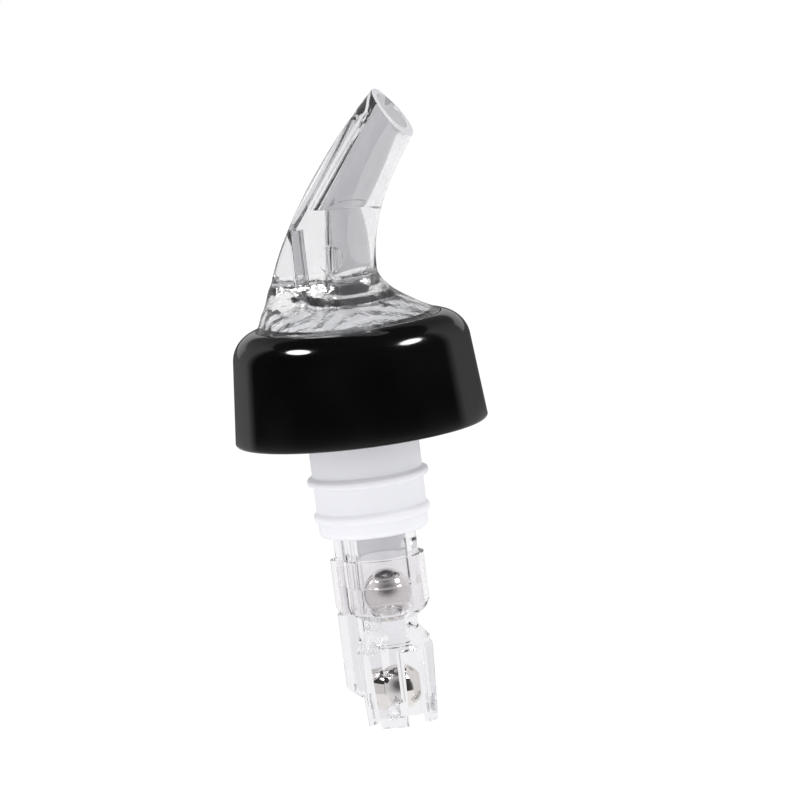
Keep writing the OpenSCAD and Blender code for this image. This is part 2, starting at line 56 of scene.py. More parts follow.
# Flanges and heights of the stack on the bottle's lip
FIT_GAP = 0.05
FLANGE_R = 17.2
FLANGE_LOW = 4.5
FLANGE_HIGH = 6.5
REGISTER_R = 15.3
COLLAR_TOP = 9.0
CEILING = 13.0
UPPER_STOP = 16.3
LET_IN = 0.5

# Skirt of the spout
SKIRT_R = 15.2
SKIRT_H = 8.0
SKIRT_SLOPE = radians(26.5)
SKIRT_LEAN = radians(22)
SKIRT_WALL = 1.7
HOLLOW_H = 2.8
HOLLOW_WAVE = 0.3
SKIRT_WAVE = 0.16
SOCKET_WALL = 1.2
STEM_LOW = COLLAR_TOP + SKIRT_H
STEM_R = 4.9
MOUTH_R = 4.4
FIN_FOOT_R = 2.3
FIN_TIP_R = 3.3
STEM_FRONT_X = BORE_X + STEM_R

# Profile of the stem and its bores, as (x, z) points
TIP = Vector((8.9, 46.6))
LIP = TIP + Vector((5.6, -8.3))
MOUTH_MIDDLE = (TIP + LIP) / 2
MOUTH_ALONG = (LIP - TIP).normalized()
MOUTH_OUT = Vector((-MOUTH_ALONG.y, MOUTH_ALONG.x))
LIP_ROUND = 0.32
LIP_ROUND_W = 0.2
BACK_FOOT_PULL = 10.7
BACK_FOOT_LEAN = radians(20.3)
BACK_TIP_PULL = 11.4
BACK_TIP_LEAN = radians(46)
FRONT_FOOT_PULL = 9.0
FRONT_LIP_PULL = 7.0
FRONT_LIP_LEAN = radians(34.5)
KNEE = Vector((BORE_X, 27.893))
STOP_R = 3.6
STOP_RISE = 1.5
SEAT_BORE_R = 3.5
SEAT_BORE_SHIFT = 0.5
KNEE_BORE_R = 3.1
KNEE_BORE_SHIFT = 1.2
MOUTH_BORE_R = 3.5
MOUTH_BORE_SHIFT = 0.4
UPPER_BORE_R = 3.0
UPPER_BORE_FOOT_R = 3.8
FLARE_R = 3.55
FLARE_H = 2.4
BORE_PAINTED_SHADE_R = 4.05
VENT_START_PLACE = 0.286
VENT_START_DEPTH = 1.1
VENT_STEM_R = 0.6
VENT_WELL_FOOT_R = 1.45
VENT_WELL_TOP_R = 1.35
VENT_WELL_STEP = 0.25
VENT_WELL_DROP = 0.6
OUTLET_PLACE = 0.866
OUTLET_DEPTH = 1.0
OUTLET_R = 1.05
MARK_R = 2.4
MARK_DEPTH = 0.45
MARK_GROOVE = 0.35
MARK_X = BORE_X - 1.4
MARK_Z = 19.8
MARK_EDGE = 0.2
SEAM_LEVEL = 0.9

# Collar
COLLAR_R = 21.0
COLLAR_DROP = 9.5
COLLAR_DRAFT = radians(5.2)
COLLAR_WALL = 1.8
SHOULDER_R = 5.0
RIM_R = 0.4
HOLE_R = 15.45
PLATE_LOW = FLANGE_HIGH + FIT_GAP
GROOVE_R = FLANGE_R + 2 * FIT_GAP
BEAD_R = FLANGE_R - 0.2
BEAD_H = 0.8

# Cork
CORK_FLANGE_R = 16.0
PLUG_R = 9.25
PLUG_TAPER = 0.15
PLUG_H = 26.4
PLUG_EDGE = 0.9
RIBS = ((-23.1, 9.7), (-17.1, 10.1))
RIB_CREST = 0.9
RIB_ROOT = 1.9
RIB_SOFT = 0.3
CORK_CORE_R = 3.0
BOSS_GAP = 0.3

# Measuring tube, with its vent beside it
TUBE_R = BALL_BORE_R + 1.75
VENT_R = 0.8
VENT_BOSS_R = VENT_R + 0.65
WEB_SHARE = 0.9
TUBE_LOW = -35.2
TUBE_HIGH = CEILING - FIT_GAP
INLET_W = 3.3
INLET_TOP = -28.2
INLET_TURN = radians(65)
TUBE_BEVEL = 0.1
TUBE_CORNER = radians(50)

# Coupling sleeve
SLEEVE_WALL = 0.85
SLEEVE_HIGH = -30.6
SLEEVE_LOW = -39.8
SLEEVE_CHAMFER = 0.65
SLEEVE_CHAMFER_H = 1.2
SLEEVE_BEVEL = 0.12
SLEEVE_CORNER = radians(25)

# Valve cage
CAGE_HIGH = TUBE_LOW - FIT_GAP
POCKET_LOW = CAGE_HIGH - 4.06
THROAT_R = 2.3
CAGE_SEAT_R = 2.95
UPPER_SEAT = POCKET_LOW - (CAGE_SEAT_R - THROAT_R)
THROAT_LOW = UPPER_SEAT - 5.0
LOWER_SEAT = THROAT_LOW - (CAGE_SEAT_R - THROAT_R)
CAGE_PLUG_LOW = CAGE_HIGH - 5.8
CAGE_TAPER_H = 1.0
NECK_R = 4.4
NECK_LOW = CAGE_PLUG_LOW - 1.6
FINGER_HIGH = NECK_LOW - 2.1
FINGER_LOW = FINGER_HIGH - 14.0
FINGER_R = BALL_BORE_R + 2.3
FINGER_TAPER = 0.65
CAGE_RIM_H = 0.7
CAGE_RIM_STEP = 0.4
SLOT_W = 3.95
SLOT_TOP = FINGER_HIGH - 1.5
NUB_REACH = 0.95
NUB_H = 2.0
NUB_R = BALL_BORE_R - NUB_REACH
DIMPLE_R = 1.05
DIMPLE_DEPTH = 0.9
DIMPLE_WORN_AND_HIGHLIT = 0.75
TAIL_R = 2.25
TAIL_LOW = SLEEVE_LOW - 15.0
TAIL_SLANT = radians(32)
CAGE_BEVEL = 0.12
CAGE_CORNER = radians(28)
GLUE_SPOT = (-1.7, -4.3, 0)
GLUE_R = 2.2

# Rest heights of the balls on seats that slope at 45 degrees
BALL_GAP = 0.05
CHECK_TRAVEL = 4.6
SEAT_REACH = BALL_R * sqrt(2)
CONTROL_BALL_Z = UPPER_SEAT - THROAT_R + SEAT_REACH + BALL_GAP
CHECK_BALL_Z = THROAT_LOW + THROAT_R - SEAT_REACH - BALL_GAP - CHECK_TRAVEL
NUB_HIGH = CHECK_BALL_Z - sqrt(BALL_R ** 2 - NUB_R ** 2) - BALL_GAP

# Painted shade in the bores, a paler tint of painted light on the skirt, and wear of the clear pieces
SPOUT_PAINTED_SHADE = (0.35, 0.35, 0.37)
TUBE_PAINTED_SHADE = (0.56, 0.56, 0.585)
SKIRT_PAINTED_LIGHT = (0.99, 0.99, 0.995)
RIM_ROUGHNESS = 0.12

# Angles past which an edge stays sharp
MOULDED_CREASE = radians(32)
BEVELLED_CREASE = radians(12)
BALL_CREASE = radians(60)

# Fineness of the smooth shapes
SECTION_POINTS = 160
ROUND_POINTS = 96
SMALL_ROUND_POINTS = 32
SKIRT_STEPS = 36
HOLLOW_STEPS = 18
STEM_STEPS = 60
EDGE_STEPS = 8
RIB_STEPS = 4
BEVEL_STEPS = 2
WEB_STEPS = 6
TUBE_ARC_STEPS = 72
VENT_ARC_STEPS = 28
SPIN_STEPS = 128


def pick(*pieces):
    """Leave only these objects selected, the last one active, in object mode."""
    if bpy.context.object and bpy.context.object.mode != "OBJECT":
        bpy.ops.object.mode_set(mode="OBJECT")
    bpy.ops.object.select_all(action="DESELECT")
    for piece in pieces:
        piece.select_set(True)
    if pieces:
        bpy.context.view_layer.objects.active = pieces[-1]


def name_new(name):
    """The object just added, with its name."""
    piece = bpy.context.object
    piece.name = piece.data.name = name
    return piece


def start_ring(name, points):
    """A circle primitive laid on a closed ring of points, left selected in edit mode."""
    pick()
    bpy.ops.mesh.primitive_circle_add(vertices=len(points), radius=MM, location=(0, 0, 0))
    piece = name_new(name)
    bpy.ops.object.mode_set(mode="EDIT")
    shape = bmesh.from_edit_mesh(piece.data)
    for vert, point in zip(shape.verts, points):
        vert.co = Vector(point) * MM
    bmesh.update_edit_mesh(piece.data)
    return piece


def extrude_ring(piece, ring, points):
    """Extrude the selected ring and lay the new one on the next points."""
    bpy.ops.mesh.extrude_edges_move()
    shape = bmesh.from_edit_mesh(piece.data)
    shape.verts.index_update()
    shape.verts.ensure_lookup_table()
    new_ring = []
    for index, point in zip(ring, points):
        foot = shape.verts[index]
        ends = [edge.other_vert(foot) for edge in foot.link_edges]
        head = next(end for end in ends if end.select)
        head.co = Vector(point) * MM
        new_ring.append(head.index)
    bmesh.update_edit_mesh(piece.data)
    return new_ring


def cap_ring(piece, ring):
    bpy.ops.mesh.select_all(action="DESELECT")
    shape = bmesh.from_edit_mesh(piece.data)
    shape.verts.ensure_lookup_table()
    ends = {shape.verts[index] for index in ring}
    for edge in shape.edges:
        if edge.verts[0] in ends and edge.verts[1] in ends:
            edge.select_set(True)
    bmesh.update_edit_mesh(piece.data)
    bpy.ops.mesh.edge_face_add()


def close_mesh():
    """Merge doubles and turn the faces outwards, then leave edit mode."""
    bpy.ops.mesh.select_all(action="SELECT")
    bpy.ops.mesh.remove_doubles(threshold=MERGE)
    bpy.ops.mesh.normals_make_consistent(inside=False)
    bpy.ops.object.mode_set(mode="OBJECT")


def loft(name, rings):
    """Solid that is extruded through rings with the same number of points and capped at both ends."""
    piece = start_ring(name, rings[0])
    first = list(range(len(rings[0])))
    ring = first
    for points in rings[1:]:
        ring = extrude_ring(piece, ring, points)
    cap_ring(piece, ring)
    cap_ring(piece, first)
    close_mesh()
    return piece


def turned(name, outline, axis_x=0.0):
    """Closed outline of (radius, height) points, spun about an upright axis."""
    piece = start_ring(name, [(axis_x + radius, 0, height) for radius, height in outline])
    bpy.ops.mesh.spin(steps=SPIN_STEPS, angle=2 * pi, center=(axis_x * MM, 0, 0), axis=(0, 0, 1))
    close_mesh()
    return piece


def carve(piece, cutter, how="DIFFERENCE"):
    """Apply an exact Boolean with another piece, which is then deleted."""
    pick(piece)
    bpy.ops.object.modifier_add(type="BOOLEAN")
    change = piece.modifiers[-1]
    change.operation = how
    change.solver = "EXACT"
    change.object = cutter
    bpy.ops.object.modifier_apply(modifier=change.name)
    pick(cutter)
    bpy.ops.object.delete()


def soften(piece, width, corner):
    """Bevel the edges that turn by more than the corner angle."""
    pick(piece)
    bpy.ops.object.modifier_add(type="BEVEL")
    change = piece.modifiers[-1]
    change.width = width * MM
    change.segments = BEVEL_STEPS
    change.limit_method = "ANGLE"
    change.angle_limit = corner
    change.use_clamp_overlap = True
    bpy.ops.object.modifier_apply(modifier=change.name)


def mix(low, high, share):
    return low + (high - low) * share


def bezier(points, share):
    points = list(points)
    while len(points) > 1:
        points = [mix(low, high, share) for low, high in zip(points, points[1:])]
    return points[0]


def bezier_way(points, share):
    return bezier([high - low for low, high in zip(points, points[1:])], share).normalized()


def lean(angle):
    """Direction in the (x, z) plane that leans from upright towards the mouth."""
    return Vector((sin(angle), cos(angle)))


def full_turn(points):
    return [2 * pi * i / points for i in range(points)]


def circle(x, z, radius, points=ROUND_POINTS):
    return [(x + radius * cos(a), radius * sin(a), z) for a in full_turn(points)]


def arc(x, z, radius, start, end, steps):
    angles = [mix(start, end, i / steps) for i in range(steps + 1)]
    return [(x + radius * cos(a), z + radius * sin(a)) for a in angles]


def pillar(name, x, radius, low, high, points=ROUND_POINTS):
    return loft(name, [circle(x, low, radius, points), circle(x, high, radius, points)])


def leaning_circle(middle, way, radius, points):
    """Circle round a point of the (x, z) plane, square to a direction in that plane."""
    side = Vector((way.y, -way.x))
    return [(middle.x + radius * cos(a) * side.x, radius * sin(a), middle.y + radius * cos(a) * side.y)
            for a in full_turn(points)]


def rectangle(low_x, high_x, half):
    return [(low_x, -half), (high_x, -half), (high_x, half), (low_x, half)]


def block(name, corners, low, high):
    """Prism on a level outline of (x, y) corners."""
    return loft(name, [[(x, y, low) for x, y in corners], [(x, y, high) for x, y in corners]])


# Spout: sections round a front circle and a fin circle, spaced evenly along their outline


def section(length, fin_r, front_r):
    """Outline of a section as (along, across) points, from the front round to the front again."""
    front_x = length - front_r
    apart = front_x - fin_r
    turn = acos(max(-1.0, min(1.0, (fin_r - front_r) / apart))) if apart > MERGE else pi / 2
    front_arc = front_r * turn
    flat = sqrt(max(0.0, apart ** 2 - (fin_r - front_r) ** 2))
    half = front_arc + flat + fin_r * (pi - turn)
    points = []
    for i in range(SECTION_POINTS):
        run = 2 * half * i / SECTION_POINTS
        side = 1 if run <= half else -1
        run = min(run, 2 * half - run)
        if run <= front_arc:
            angle = run / front_r
            point = (front_x + front_r * cos(angle), front_r * sin(angle))
        elif run <= front_arc + flat:
            share = (run - front_arc) / flat
            point = (mix(front_x + front_r * cos(turn), fin_r + fin_r * cos(turn), share),
                     mix(front_r * sin(turn), fin_r * sin(turn), share))
        else:
            angle = turn + (run - front_arc - flat) / fin_r
            point = (fin_r + fin_r * cos(angle), fin_r * sin(angle))
        points.append((point[0], side * point[1]))
    return points


def section_ring(back, front, fin_r, front_r, inset=0.0):
    way = (front - back).normalized()
    start = back + inset * way
    length = (front - back).length - 2 * inset
    return [(start.x + way.x * along, across, start.y + way.y * along)
            for along, across in section(length, fin_r - inset, front_r - inset)]


SKIRT_FRONT = (
    Vector((SKIRT_R, COLLAR_TOP)),
    Vector((STEM_FRONT_X, COLLAR_TOP + (SKIRT_R - STEM_FRONT_X) * tan(SKIRT_SLOPE))),
    Vector((STEM_FRONT_X, STEM_LOW)),
)
STEM_BACK = Vector((-SKIRT_R + SKIRT_H * tan(SKIRT_LEAN), STEM_LOW))
BACK_CURVE = (
    STEM_BACK,
    STEM_BACK + BACK_FOOT_PULL * lean(BACK_FOOT_LEAN),
    TIP - BACK_TIP_PULL * lean(BACK_TIP_LEAN),
    TIP,
)
FRONT_CURVE = (
    Vector((STEM_FRONT_X, STEM_LOW)),
    Vector((STEM_FRONT_X, STEM_LOW + FRONT_FOOT_PULL)),
    LIP - FRONT_LIP_PULL * lean(FRONT_LIP_LEAN),
    LIP,
)


def skirt_ring(share, inset=0.0):
    front = bezier(SKIRT_FRONT, share)
    back = Vector((-SKIRT_R + (front.y - COLLAR_TOP) * tan(SKIRT_LEAN), front.y))
    spread = (front.x - STEM_FRONT_X) / (SKIRT_R - STEM_FRONT_X)
    return section_ring(back, front, mix(FIN_FOOT_R, SKIRT_R, spread), mix(STEM_R, SKIRT_R, spread), inset)


def stem_ring(share):
    return section_ring(bezier(BACK_CURVE, share), bezier(FRONT_CURVE, share),
                        mix(FIN_FOOT_R, FIN_TIP_R, share ** 2), mix(STEM_R, MOUTH_R, share))


def lip_ring(angle):
    """Ring of the rounded mouth edge, from the stem's side round to the mouth's face."""
    rise = LIP_ROUND * sin(angle) * MOUTH_OUT
    ring = section_ring(TIP, LIP, FIN_TIP_R, MOUTH_R, LIP_ROUND_W * (1 - cos(angle)))
    return [(x + rise.x, y, z + rise.y) for x, y, z in ring]


def skirt_place(rise):
    """Place on the skirt's front curve at a height above the collar."""
    middle = SKIRT_FRONT[1].y - COLLAR_TOP
    return rise / (middle + sqrt(middle ** 2 + (SKIRT_H - 2 * middle) * rise))


def below_back(place, depth):
    way = bezier_way(BACK_CURVE, place)
    return bezier(BACK_CURVE, place) + depth * Vector((way.y, -way.x))


def upper_bore_axis():
    """Foot of the slanted bore, its foot where it is widest, its direction and its length up to the mouth."""
    aim = TIP.lerp(LIP, 0.5 + MOUTH_BORE_SHIFT / (LIP - TIP).length)
    way = (aim - KNEE).normalized()
    front = Vector((way.y, -way.x))
    foot = KNEE - (MOUTH_BORE_R - UPPER_BORE_R) * front
    wide_foot = foot + (UPPER_BORE_FOOT_R - UPPER_BORE_R) * front
    return foot, wide_foot, way, (MOUTH_MIDDLE - foot).dot(way)


def teardrop(grow):
    """Outline of the tube and its vent as (x, y) points, grown by a clearance or a wall."""
    big, small = TUBE_R + grow, VENT_BOSS_R + grow
    foot = Vector((BORE_X, WEB_SHARE * TUBE_R + grow))
    way = (Vector((VENT_X, WEB_SHARE * VENT_BOSS_R + grow)) - foot).normalized()

    def meet(middle_x, radius, last):
        start = foot - Vector((middle_x, 0))
        along = -start.dot(way)
        reach = sqrt(along ** 2 - start.length_squared + radius ** 2)
        return foot + way * (along + reach if last else along - reach)

    near = meet(BORE_X, big, True)
    far = meet(VENT_X, small, False)
    web = [tuple(near.lerp(far, i / WEB_STEPS)) for i in range(1, WEB_STEPS)]
    if near.x < far.x:
        apart = BORE_X - VENT_X
        across = (apart ** 2 + big ** 2 - small ** 2) / (2 * apart)
        near = far = Vector((BORE_X - across, sqrt(big ** 2 - across ** 2)))
        web = []
    near_turn = atan2(near.y, near.x - BORE_X)
    far_turn = atan2(far.y, far.x - VENT_X)
    round_vent = arc(VENT_X, 0, small, far_turn, 2 * pi - far_turn, VENT_ARC_STEPS)
    outline = arc(BORE_X, 0, big, -near_turn, near_turn, TUBE_ARC_STEPS)
    outline += web + round_vent if web else round_vent[1:-1]
    outline += [(x, -y) for x, y in reversed(web)]
    return outline


def teardrop_block(name, grow, low, high):
    return block(name, teardrop(grow), low, high)


def wavy(ring, height):
    """Draw a ring's points in and out by the uneven waves that cooling leaves in a thick skirt."""
    points = []
    for x, y, z in ring:
        wave = sin(1.9 * x + 0.9 * z + 1.3 * sin(0.8 * y))
        wave += sin(1.7 * y - 1.1 * x + 2.1 * sin(0.9 * z + 0.4 * x))
        shift = Vector((x, y)).normalized() * height * wave / 2
        points.append((x + shift.x, y + shift.y, z))
    return points


def skirt_inside(name, inset, low, rise, socket_grow, wave=0.0):
    """Inside of the skirt round the tube's socket, drawn in from the skirt's face by inset."""
    top_place = skirt_place(rise)
    rings = [circle(0, low, REGISTER_R - inset, SECTION_POINTS),
             circle(0, COLLAR_TOP - FIT_GAP, REGISTER_R - inset, SECTION_POINTS)]
    rings += [wavy(skirt_ring(top_place * i / HOLLOW_STEPS, inset), wave) for i in range(HOLLOW_STEPS + 1)]
    inside = loft(name, rings)
    carve(inside, teardrop_block("socket_boss", socket_grow, low - CUT_PAST, CEILING))
    return inside


def make_spout():
    rings = [circle(0, height, radius, SECTION_POINTS) for height, radius in (
        (FLANGE_LOW, FLANGE_R), (FLANGE_HIGH, FLANGE_R), (FLANGE_HIGH, REGISTER_R), (COLLAR_TOP, REGISTER_R))]
    rings += [wavy(skirt_ring(i / SKIRT_STEPS), SKIRT_WAVE * sin(pi * i / SKIRT_STEPS))
              for i in range(SKIRT_STEPS + 1)]
    rings += [stem_ring(i / STEM_STEPS) for i in range(1, STEM_STEPS + 1)]
    rings += [lip_ring(pi / 2 * i / EDGE_STEPS) for i in range(1, EDGE_STEPS + 1)]
    spout = loft("clear_spout", rings)

    carve(spout, skirt_inside("skirt_hollow", SKIRT_WALL, FLANGE_LOW - CUT_PAST, HOLLOW_H,
                              FIT_GAP + SOCKET_WALL, HOLLOW_WAVE))
    carve(spout, teardrop_block("socket", FIT_GAP, FLANGE_LOW - CUT_PAST, CEILING))

    carve(spout, loft("lower_bore", [
        circle(BORE_X, CEILING - CUT_PAST, BALL_BORE_R),
        circle(BORE_X, UPPER_STOP, BALL_BORE_R),
        circle(BORE_X, UPPER_STOP, STOP_R),
        circle(BORE_X + SEAT_BORE_SHIFT, UPPER_STOP + STOP_RISE, SEAT_BORE_R),
        circle(BORE_X + KNEE_BORE_SHIFT, KNEE.y + FIT_GAP, KNEE_BORE_R),
    ]))
    foot, wide_foot, way, length = upper_bore_axis()
    past_mouth = MOUTH_MIDDLE + way * (LIP - TIP).length / 2
    knee_end = [(x - (z - KNEE.y) * way.x / way.y, y, KNEE.y)
                for x, y, z in leaning_circle(wide_foot, way, UPPER_BORE_FOOT_R, ROUND_POINTS)]
    carve(spout, loft("upper_bore", [
        knee_end,
        leaning_circle(foot + way * (length - FLARE_H), way, UPPER_BORE_R, ROUND_POINTS),
        leaning_circle(MOUTH_MIDDLE, way, FLARE_R, ROUND_POINTS),
        leaning_circle(past_mouth, way, FLARE_R + LIP_ROUND, ROUND_POINTS),
    ]))

    start = below_back(VENT_START_PLACE, VENT_START_DEPTH)
    outlet = below_back(OUTLET_PLACE, OUTLET_DEPTH)
    way = (outlet - start).normalized()
    well_x = start.x + VENT_WELL_STEP
    carve(spout, loft("vent_well", [
        circle(well_x, CEILING - LET_IN, VENT_WELL_FOOT_R, SMALL_ROUND_POINTS),
        circle(well_x, start.y - VENT_WELL_DROP, VENT_WELL_TOP_R, SMALL_ROUND_POINTS),
    ]))
    carve(spout, loft("thin_vent", [
        leaning_circle(start - 2 * LET_IN * way, way, VENT_STEM_R, SMALL_ROUND_POINTS),
        leaning_circle(outlet, way, VENT_STEM_R, SMALL_ROUND_POINTS),
    ]))
    level = Vector((-1, 0))
    carve(spout, loft("vent_outlet", [
        leaning_circle(spot, level, OUTLET_R, SMALL_ROUND_POINTS)
        for spot in (outlet, outlet + (OUTLET_DEPTH + 2 * OUTLET_R + CUT_PAST) * level)
    ]))
    mark_outline = (
        (MARK_R - 2 * MARK_EDGE, MARK_DEPTH - STEM_R),
        (MARK_R - MARK_EDGE, MARK_DEPTH + MARK_GROOVE - STEM_R),
        (MARK_R, MARK_DEPTH - STEM_R),
        (MARK_R, -2 * STEM_R),
    )
    carve(spout, loft("moulding_mark", [
        [(MARK_X + radius * cos(a), y, MARK_Z + radius * sin(a)) for a in full_turn(ROUND_POINTS)]
        for radius, y in mark_outline
    ]))
    return spout


def make_collar():
    shoulder_z = COLLAR_TOP - SHOULDER_R
    shoulder_x = COLLAR_R - (shoulder_z + COLLAR_DROP) * tan(COLLAR_DRAFT) - SHOULDER_R / cos(COLLAR_DRAFT)
    shoulder_end = acos((HOLE_R - shoulder_x) / SHOULDER_R)
    bead_low = FLANGE_LOW - FIT_GAP - BEAD_H
    inner_r = COLLAR_R - COLLAR_WALL
    outline = arc(COLLAR_R - RIM_R, RIM_R - COLLAR_DROP, RIM_R, -pi / 2, 0, EDGE_STEPS)
    outline += arc(shoulder_x, shoulder_z, SHOULDER_R, COLLAR_DRAFT, shoulder_end, 4 * EDGE_STEPS)
    outline += [
        (HOLE_R, PLATE_LOW),
        (GROOVE_R, PLATE_LOW),
        (GROOVE_R, FLANGE_LOW - FIT_GAP),
        (BEAD_R, FLANGE_LOW - FIT_GAP),
        (BEAD_R, bead_low),
        (inner_r - (bead_low - BEAD_H + COLLAR_DROP) * tan(COLLAR_DRAFT), bead_low - BEAD_H),
        (inner_r, -COLLAR_DROP),
    ]
    return turned("black_collar", outline)


def plug_side(z):
    return PLUG_R + PLUG_TAPER * z / PLUG_H


def rib_outline(z, radius):
    """Rib from its lower root to its upper one, with a softened crest and roots."""
    half_root, half_crest = RIB_ROOT / 2, RIB_CREST / 2
    low = Vector((plug_side(z - half_root), z - half_root))
    high = Vector((plug_side(z + half_root), z + half_root))
    crest_low, crest_high = Vector((radius, z - half_crest)), Vector((radius, z + half_crest))
    points = [low]
    for before, corner, after in ((low, crest_low, crest_high), (crest_low, crest_high, high)):
        start = corner + (before - corner).normalized() * RIB_SOFT
        end = corner + (after - corner).normalized() * RIB_SOFT
        points += [bezier((start, corner, end), i / RIB_STEPS) for i in range(RIB_STEPS + 1)]
    return [tuple(point) for point in points + [high]]


def make_cork():
    edge_r = plug_side(PLUG_EDGE - PLUG_H) - PLUG_EDGE
    outline = [(CORK_CORE_R, -PLUG_H)]
    outline += arc(edge_r, PLUG_EDGE - PLUG_H, PLUG_EDGE, -pi / 2, 0, EDGE_STEPS)
    for z, radius in RIBS:
        outline += rib_outline(z, radius)
    outline += [(PLUG_R, 0), (CORK_FLANGE_R, 0), (CORK_FLANGE_R, FLANGE_LOW), (CORK_CORE_R, FLANGE_LOW)]
    cork = turned("ribbed_cork", outline)
    carve(cork, skirt_inside("cork_boss", SKIRT_WALL + BOSS_GAP, FLANGE_LOW - LET_IN, HOLLOW_H - BOSS_GAP,
                             FIT_GAP + SOCKET_WALL + BOSS_GAP), "UNION")
    carve(cork, teardrop_block("cork_hole", FIT_GAP, -PLUG_H - CUT_PAST, FLANGE_LOW + CUT_PAST))
    return cork


def turned_about_bore(points, angle):
    """Turn level (x, y) points round the ball bore's axis."""
    return [(BORE_X + (x - BORE_X) * cos(angle) - y * sin(angle), (x - BORE_X) * sin(angle) + y * cos(angle))
            for x, y in points]


def make_tube():
    tube = teardrop_block("measuring_tube_clear", 0, TUBE_LOW, TUBE_HIGH)
    low, high = TUBE_LOW - CUT_PAST, TUBE_HIGH + CUT_PAST
    carve(tube, pillar("ball_bore", BORE_X, BALL_BORE_R, low, high))
    carve(tube, pillar("tube_vent", VENT_X, VENT_R, low, high, SMALL_ROUND_POINTS))
    half = INLET_W / 2
    arch = arc(BORE_X, INLET_TOP - half, half, 0, pi, 2 * EDGE_STEPS)
    outline = [(BORE_X + half, low)] + arch + [(BORE_X - half, low)]
    rings = []
    for out in (0, TUBE_R + CUT_PAST):
        level = turned_about_bore([(x, out) for x, _ in outline], -INLET_TURN)
        rings.append([(x, y, z) for (x, y), (_, z) in zip(level, outline)])
    carve(tube, loft("inlet_slot", rings))
    soften(tube, TUBE_BEVEL, TUBE_CORNER)
    return tube


def make_sleeve():
    wall = FIT_GAP + SLEEVE_WALL
    sleeve = loft("milky_sleeve", [
        [(x, y, height) for x, y in teardrop(grow)]
        for grow, height in ((wall - SLEEVE_CHAMFER, SLEEVE_LOW), (wall, SLEEVE_LOW + SLEEVE_CHAMFER_H),
                             (wall, SLEEVE_HIGH))
    ])
    carve(sleeve, teardrop_block("sleeve_hole", FIT_GAP, SLEEVE_LOW - CUT_PAST, SLEEVE_HIGH + CUT_PAST))
    soften(sleeve, SLEEVE_BEVEL, SLEEVE_CORNER)
    return sleeve


def make_cage():
    outline = [
        (TUBE_R, CAGE_HIGH),
        (TUBE_R, CAGE_PLUG_LOW + CAGE_TAPER_H),
        (NECK_R, CAGE_PLUG_LOW),
        (NECK_R, NECK_LOW),
        (FINGER_R - CAGE_RIM_STEP, FINGER_HIGH),
        (FINGER_R - CAGE_RIM_STEP, FINGER_HIGH - CAGE_RIM_H),
        (FINGER_R, FINGER_HIGH - 2 * CAGE_RIM_H),
        (FINGER_R - FINGER_TAPER, FINGER_LOW),
        (BALL_BORE_R, FINGER_LOW),
        (BALL_BORE_R, NUB_HIGH - NUB_H),
        (NUB_R, NUB_HIGH - NUB_H + NUB_REACH / 2),
        (NUB_R, NUB_HIGH),
        (BALL_BORE_R, NUB_HIGH + NUB_REACH / 2),
        (BALL_BORE_R, LOWER_SEAT),
        (CAGE_SEAT_R, LOWER_SEAT),
        (THROAT_R, THROAT_LOW),
        (THROAT_R, UPPER_SEAT),
        (CAGE_SEAT_R, POCKET_LOW),
        (BALL_BORE_R, POCKET_LOW),
        (BALL_BORE_R, CAGE_HIGH),
    ]
    cage = turned("finger_cage", outline, BORE_X)

    vent_block = teardrop_block("vent_block", 0, SLEEVE_LOW, CAGE_HIGH)
    carve(vent_block, pillar("barrel_room", BORE_X, (NECK_R + TUBE_R) / 2, SLEEVE_LOW - CUT_PAST,
                             CAGE_HIGH + CUT_PAST))
    carve(cage, vent_block, "UNION")

    tail_high = SLEEVE_LOW - FIT_GAP
    tail_top = circle(VENT_X, tail_high, TAIL_R)
    tail = loft("vent_tail", [
        [(x, y, TAIL_LOW + (VENT_X + TAIL_R - x) * tan(TAIL_SLANT)) for x, y, _ in tail_top],
        tail_top,
    ])
    rib = rectangle(VENT_X, BORE_X - BALL_BORE_R - FIT_GAP, VENT_BOSS_R)
    carve(tail, block("tail_rib", rib, FINGER_HIGH, tail_high - FIT_GAP), "UNION")
    carve(cage, tail, "UNION")

    carve(cage, pillar("cage_vent", VENT_X, VENT_R, TAIL_LOW - CUT_PAST, CAGE_HIGH + CUT_PAST,
                       SMALL_ROUND_POINTS))
    reach = FINGER_R + CUT_PAST
    slot = rectangle(BORE_X - reach, BORE_X + reach, SLOT_W / 2)
    for turn in (pi / 4, 3 * pi / 4):
        carve(cage, block("finger_slot", turned_about_bore(slot, turn), FINGER_LOW - CUT_PAST, SLOT_TOP))

    dimple_z = NUB_HIGH - NUB_H / 2
    point_turn = acos(DIMPLE_R / NUB_H)
    drop_outline = arc(0, 0, DIMPLE_R, pi / 2 + point_turn, 5 * pi / 2 - point_turn, 4 * EDGE_STEPS)
    drop_outline.append((0, NUB_H))
    inner = FINGER_R - FINGER_TAPER - DIMPLE_DEPTH
    for turn in (-pi / 2, 0, pi / 2):
        rings = []
        for out in (inner, inner + DIMPLE_DEPTH + CUT_PAST):
            level = turned_about_bore([(BORE_X + out, across) for across, _ in drop_outline], turn)
            rings.append([(x, y, dimple_z + rise) for (x, y), (_, rise) in zip(level, drop_outline)])
        carve(cage, loft("dimple", rings))
    soften(cage, CAGE_BEVEL, CAGE_CORNER)
    return cage


def make_ball(name, height):
    """Ball rounded from a subdivided cube, so that its faces are even all over."""
    pick()
    bpy.ops.mesh.primitive_cube_add(size=2 * BALL_R * MM, location=(0, 0, 0))
    ball = name_new(name)
    bpy.ops.object.mode_set(mode="EDIT")
    bpy.ops.mesh.select_all(action="SELECT")
    bpy.ops.mesh.subdivide(number_cuts=BALL_CUTS)
    shape = bmesh.from_edit_mesh(ball.data)
    middle = Vector((BORE_X, 0, height)) * MM
    for vert in shape.verts:
        side = [tan(share * pi / 4) for share in vert.co / (BALL_R * MM)]
        vert.co = middle + Vector(side).normalized() * BALL_R * MM
    bmesh.update_edit_mesh(ball.data)
    close_mesh()
    return ball


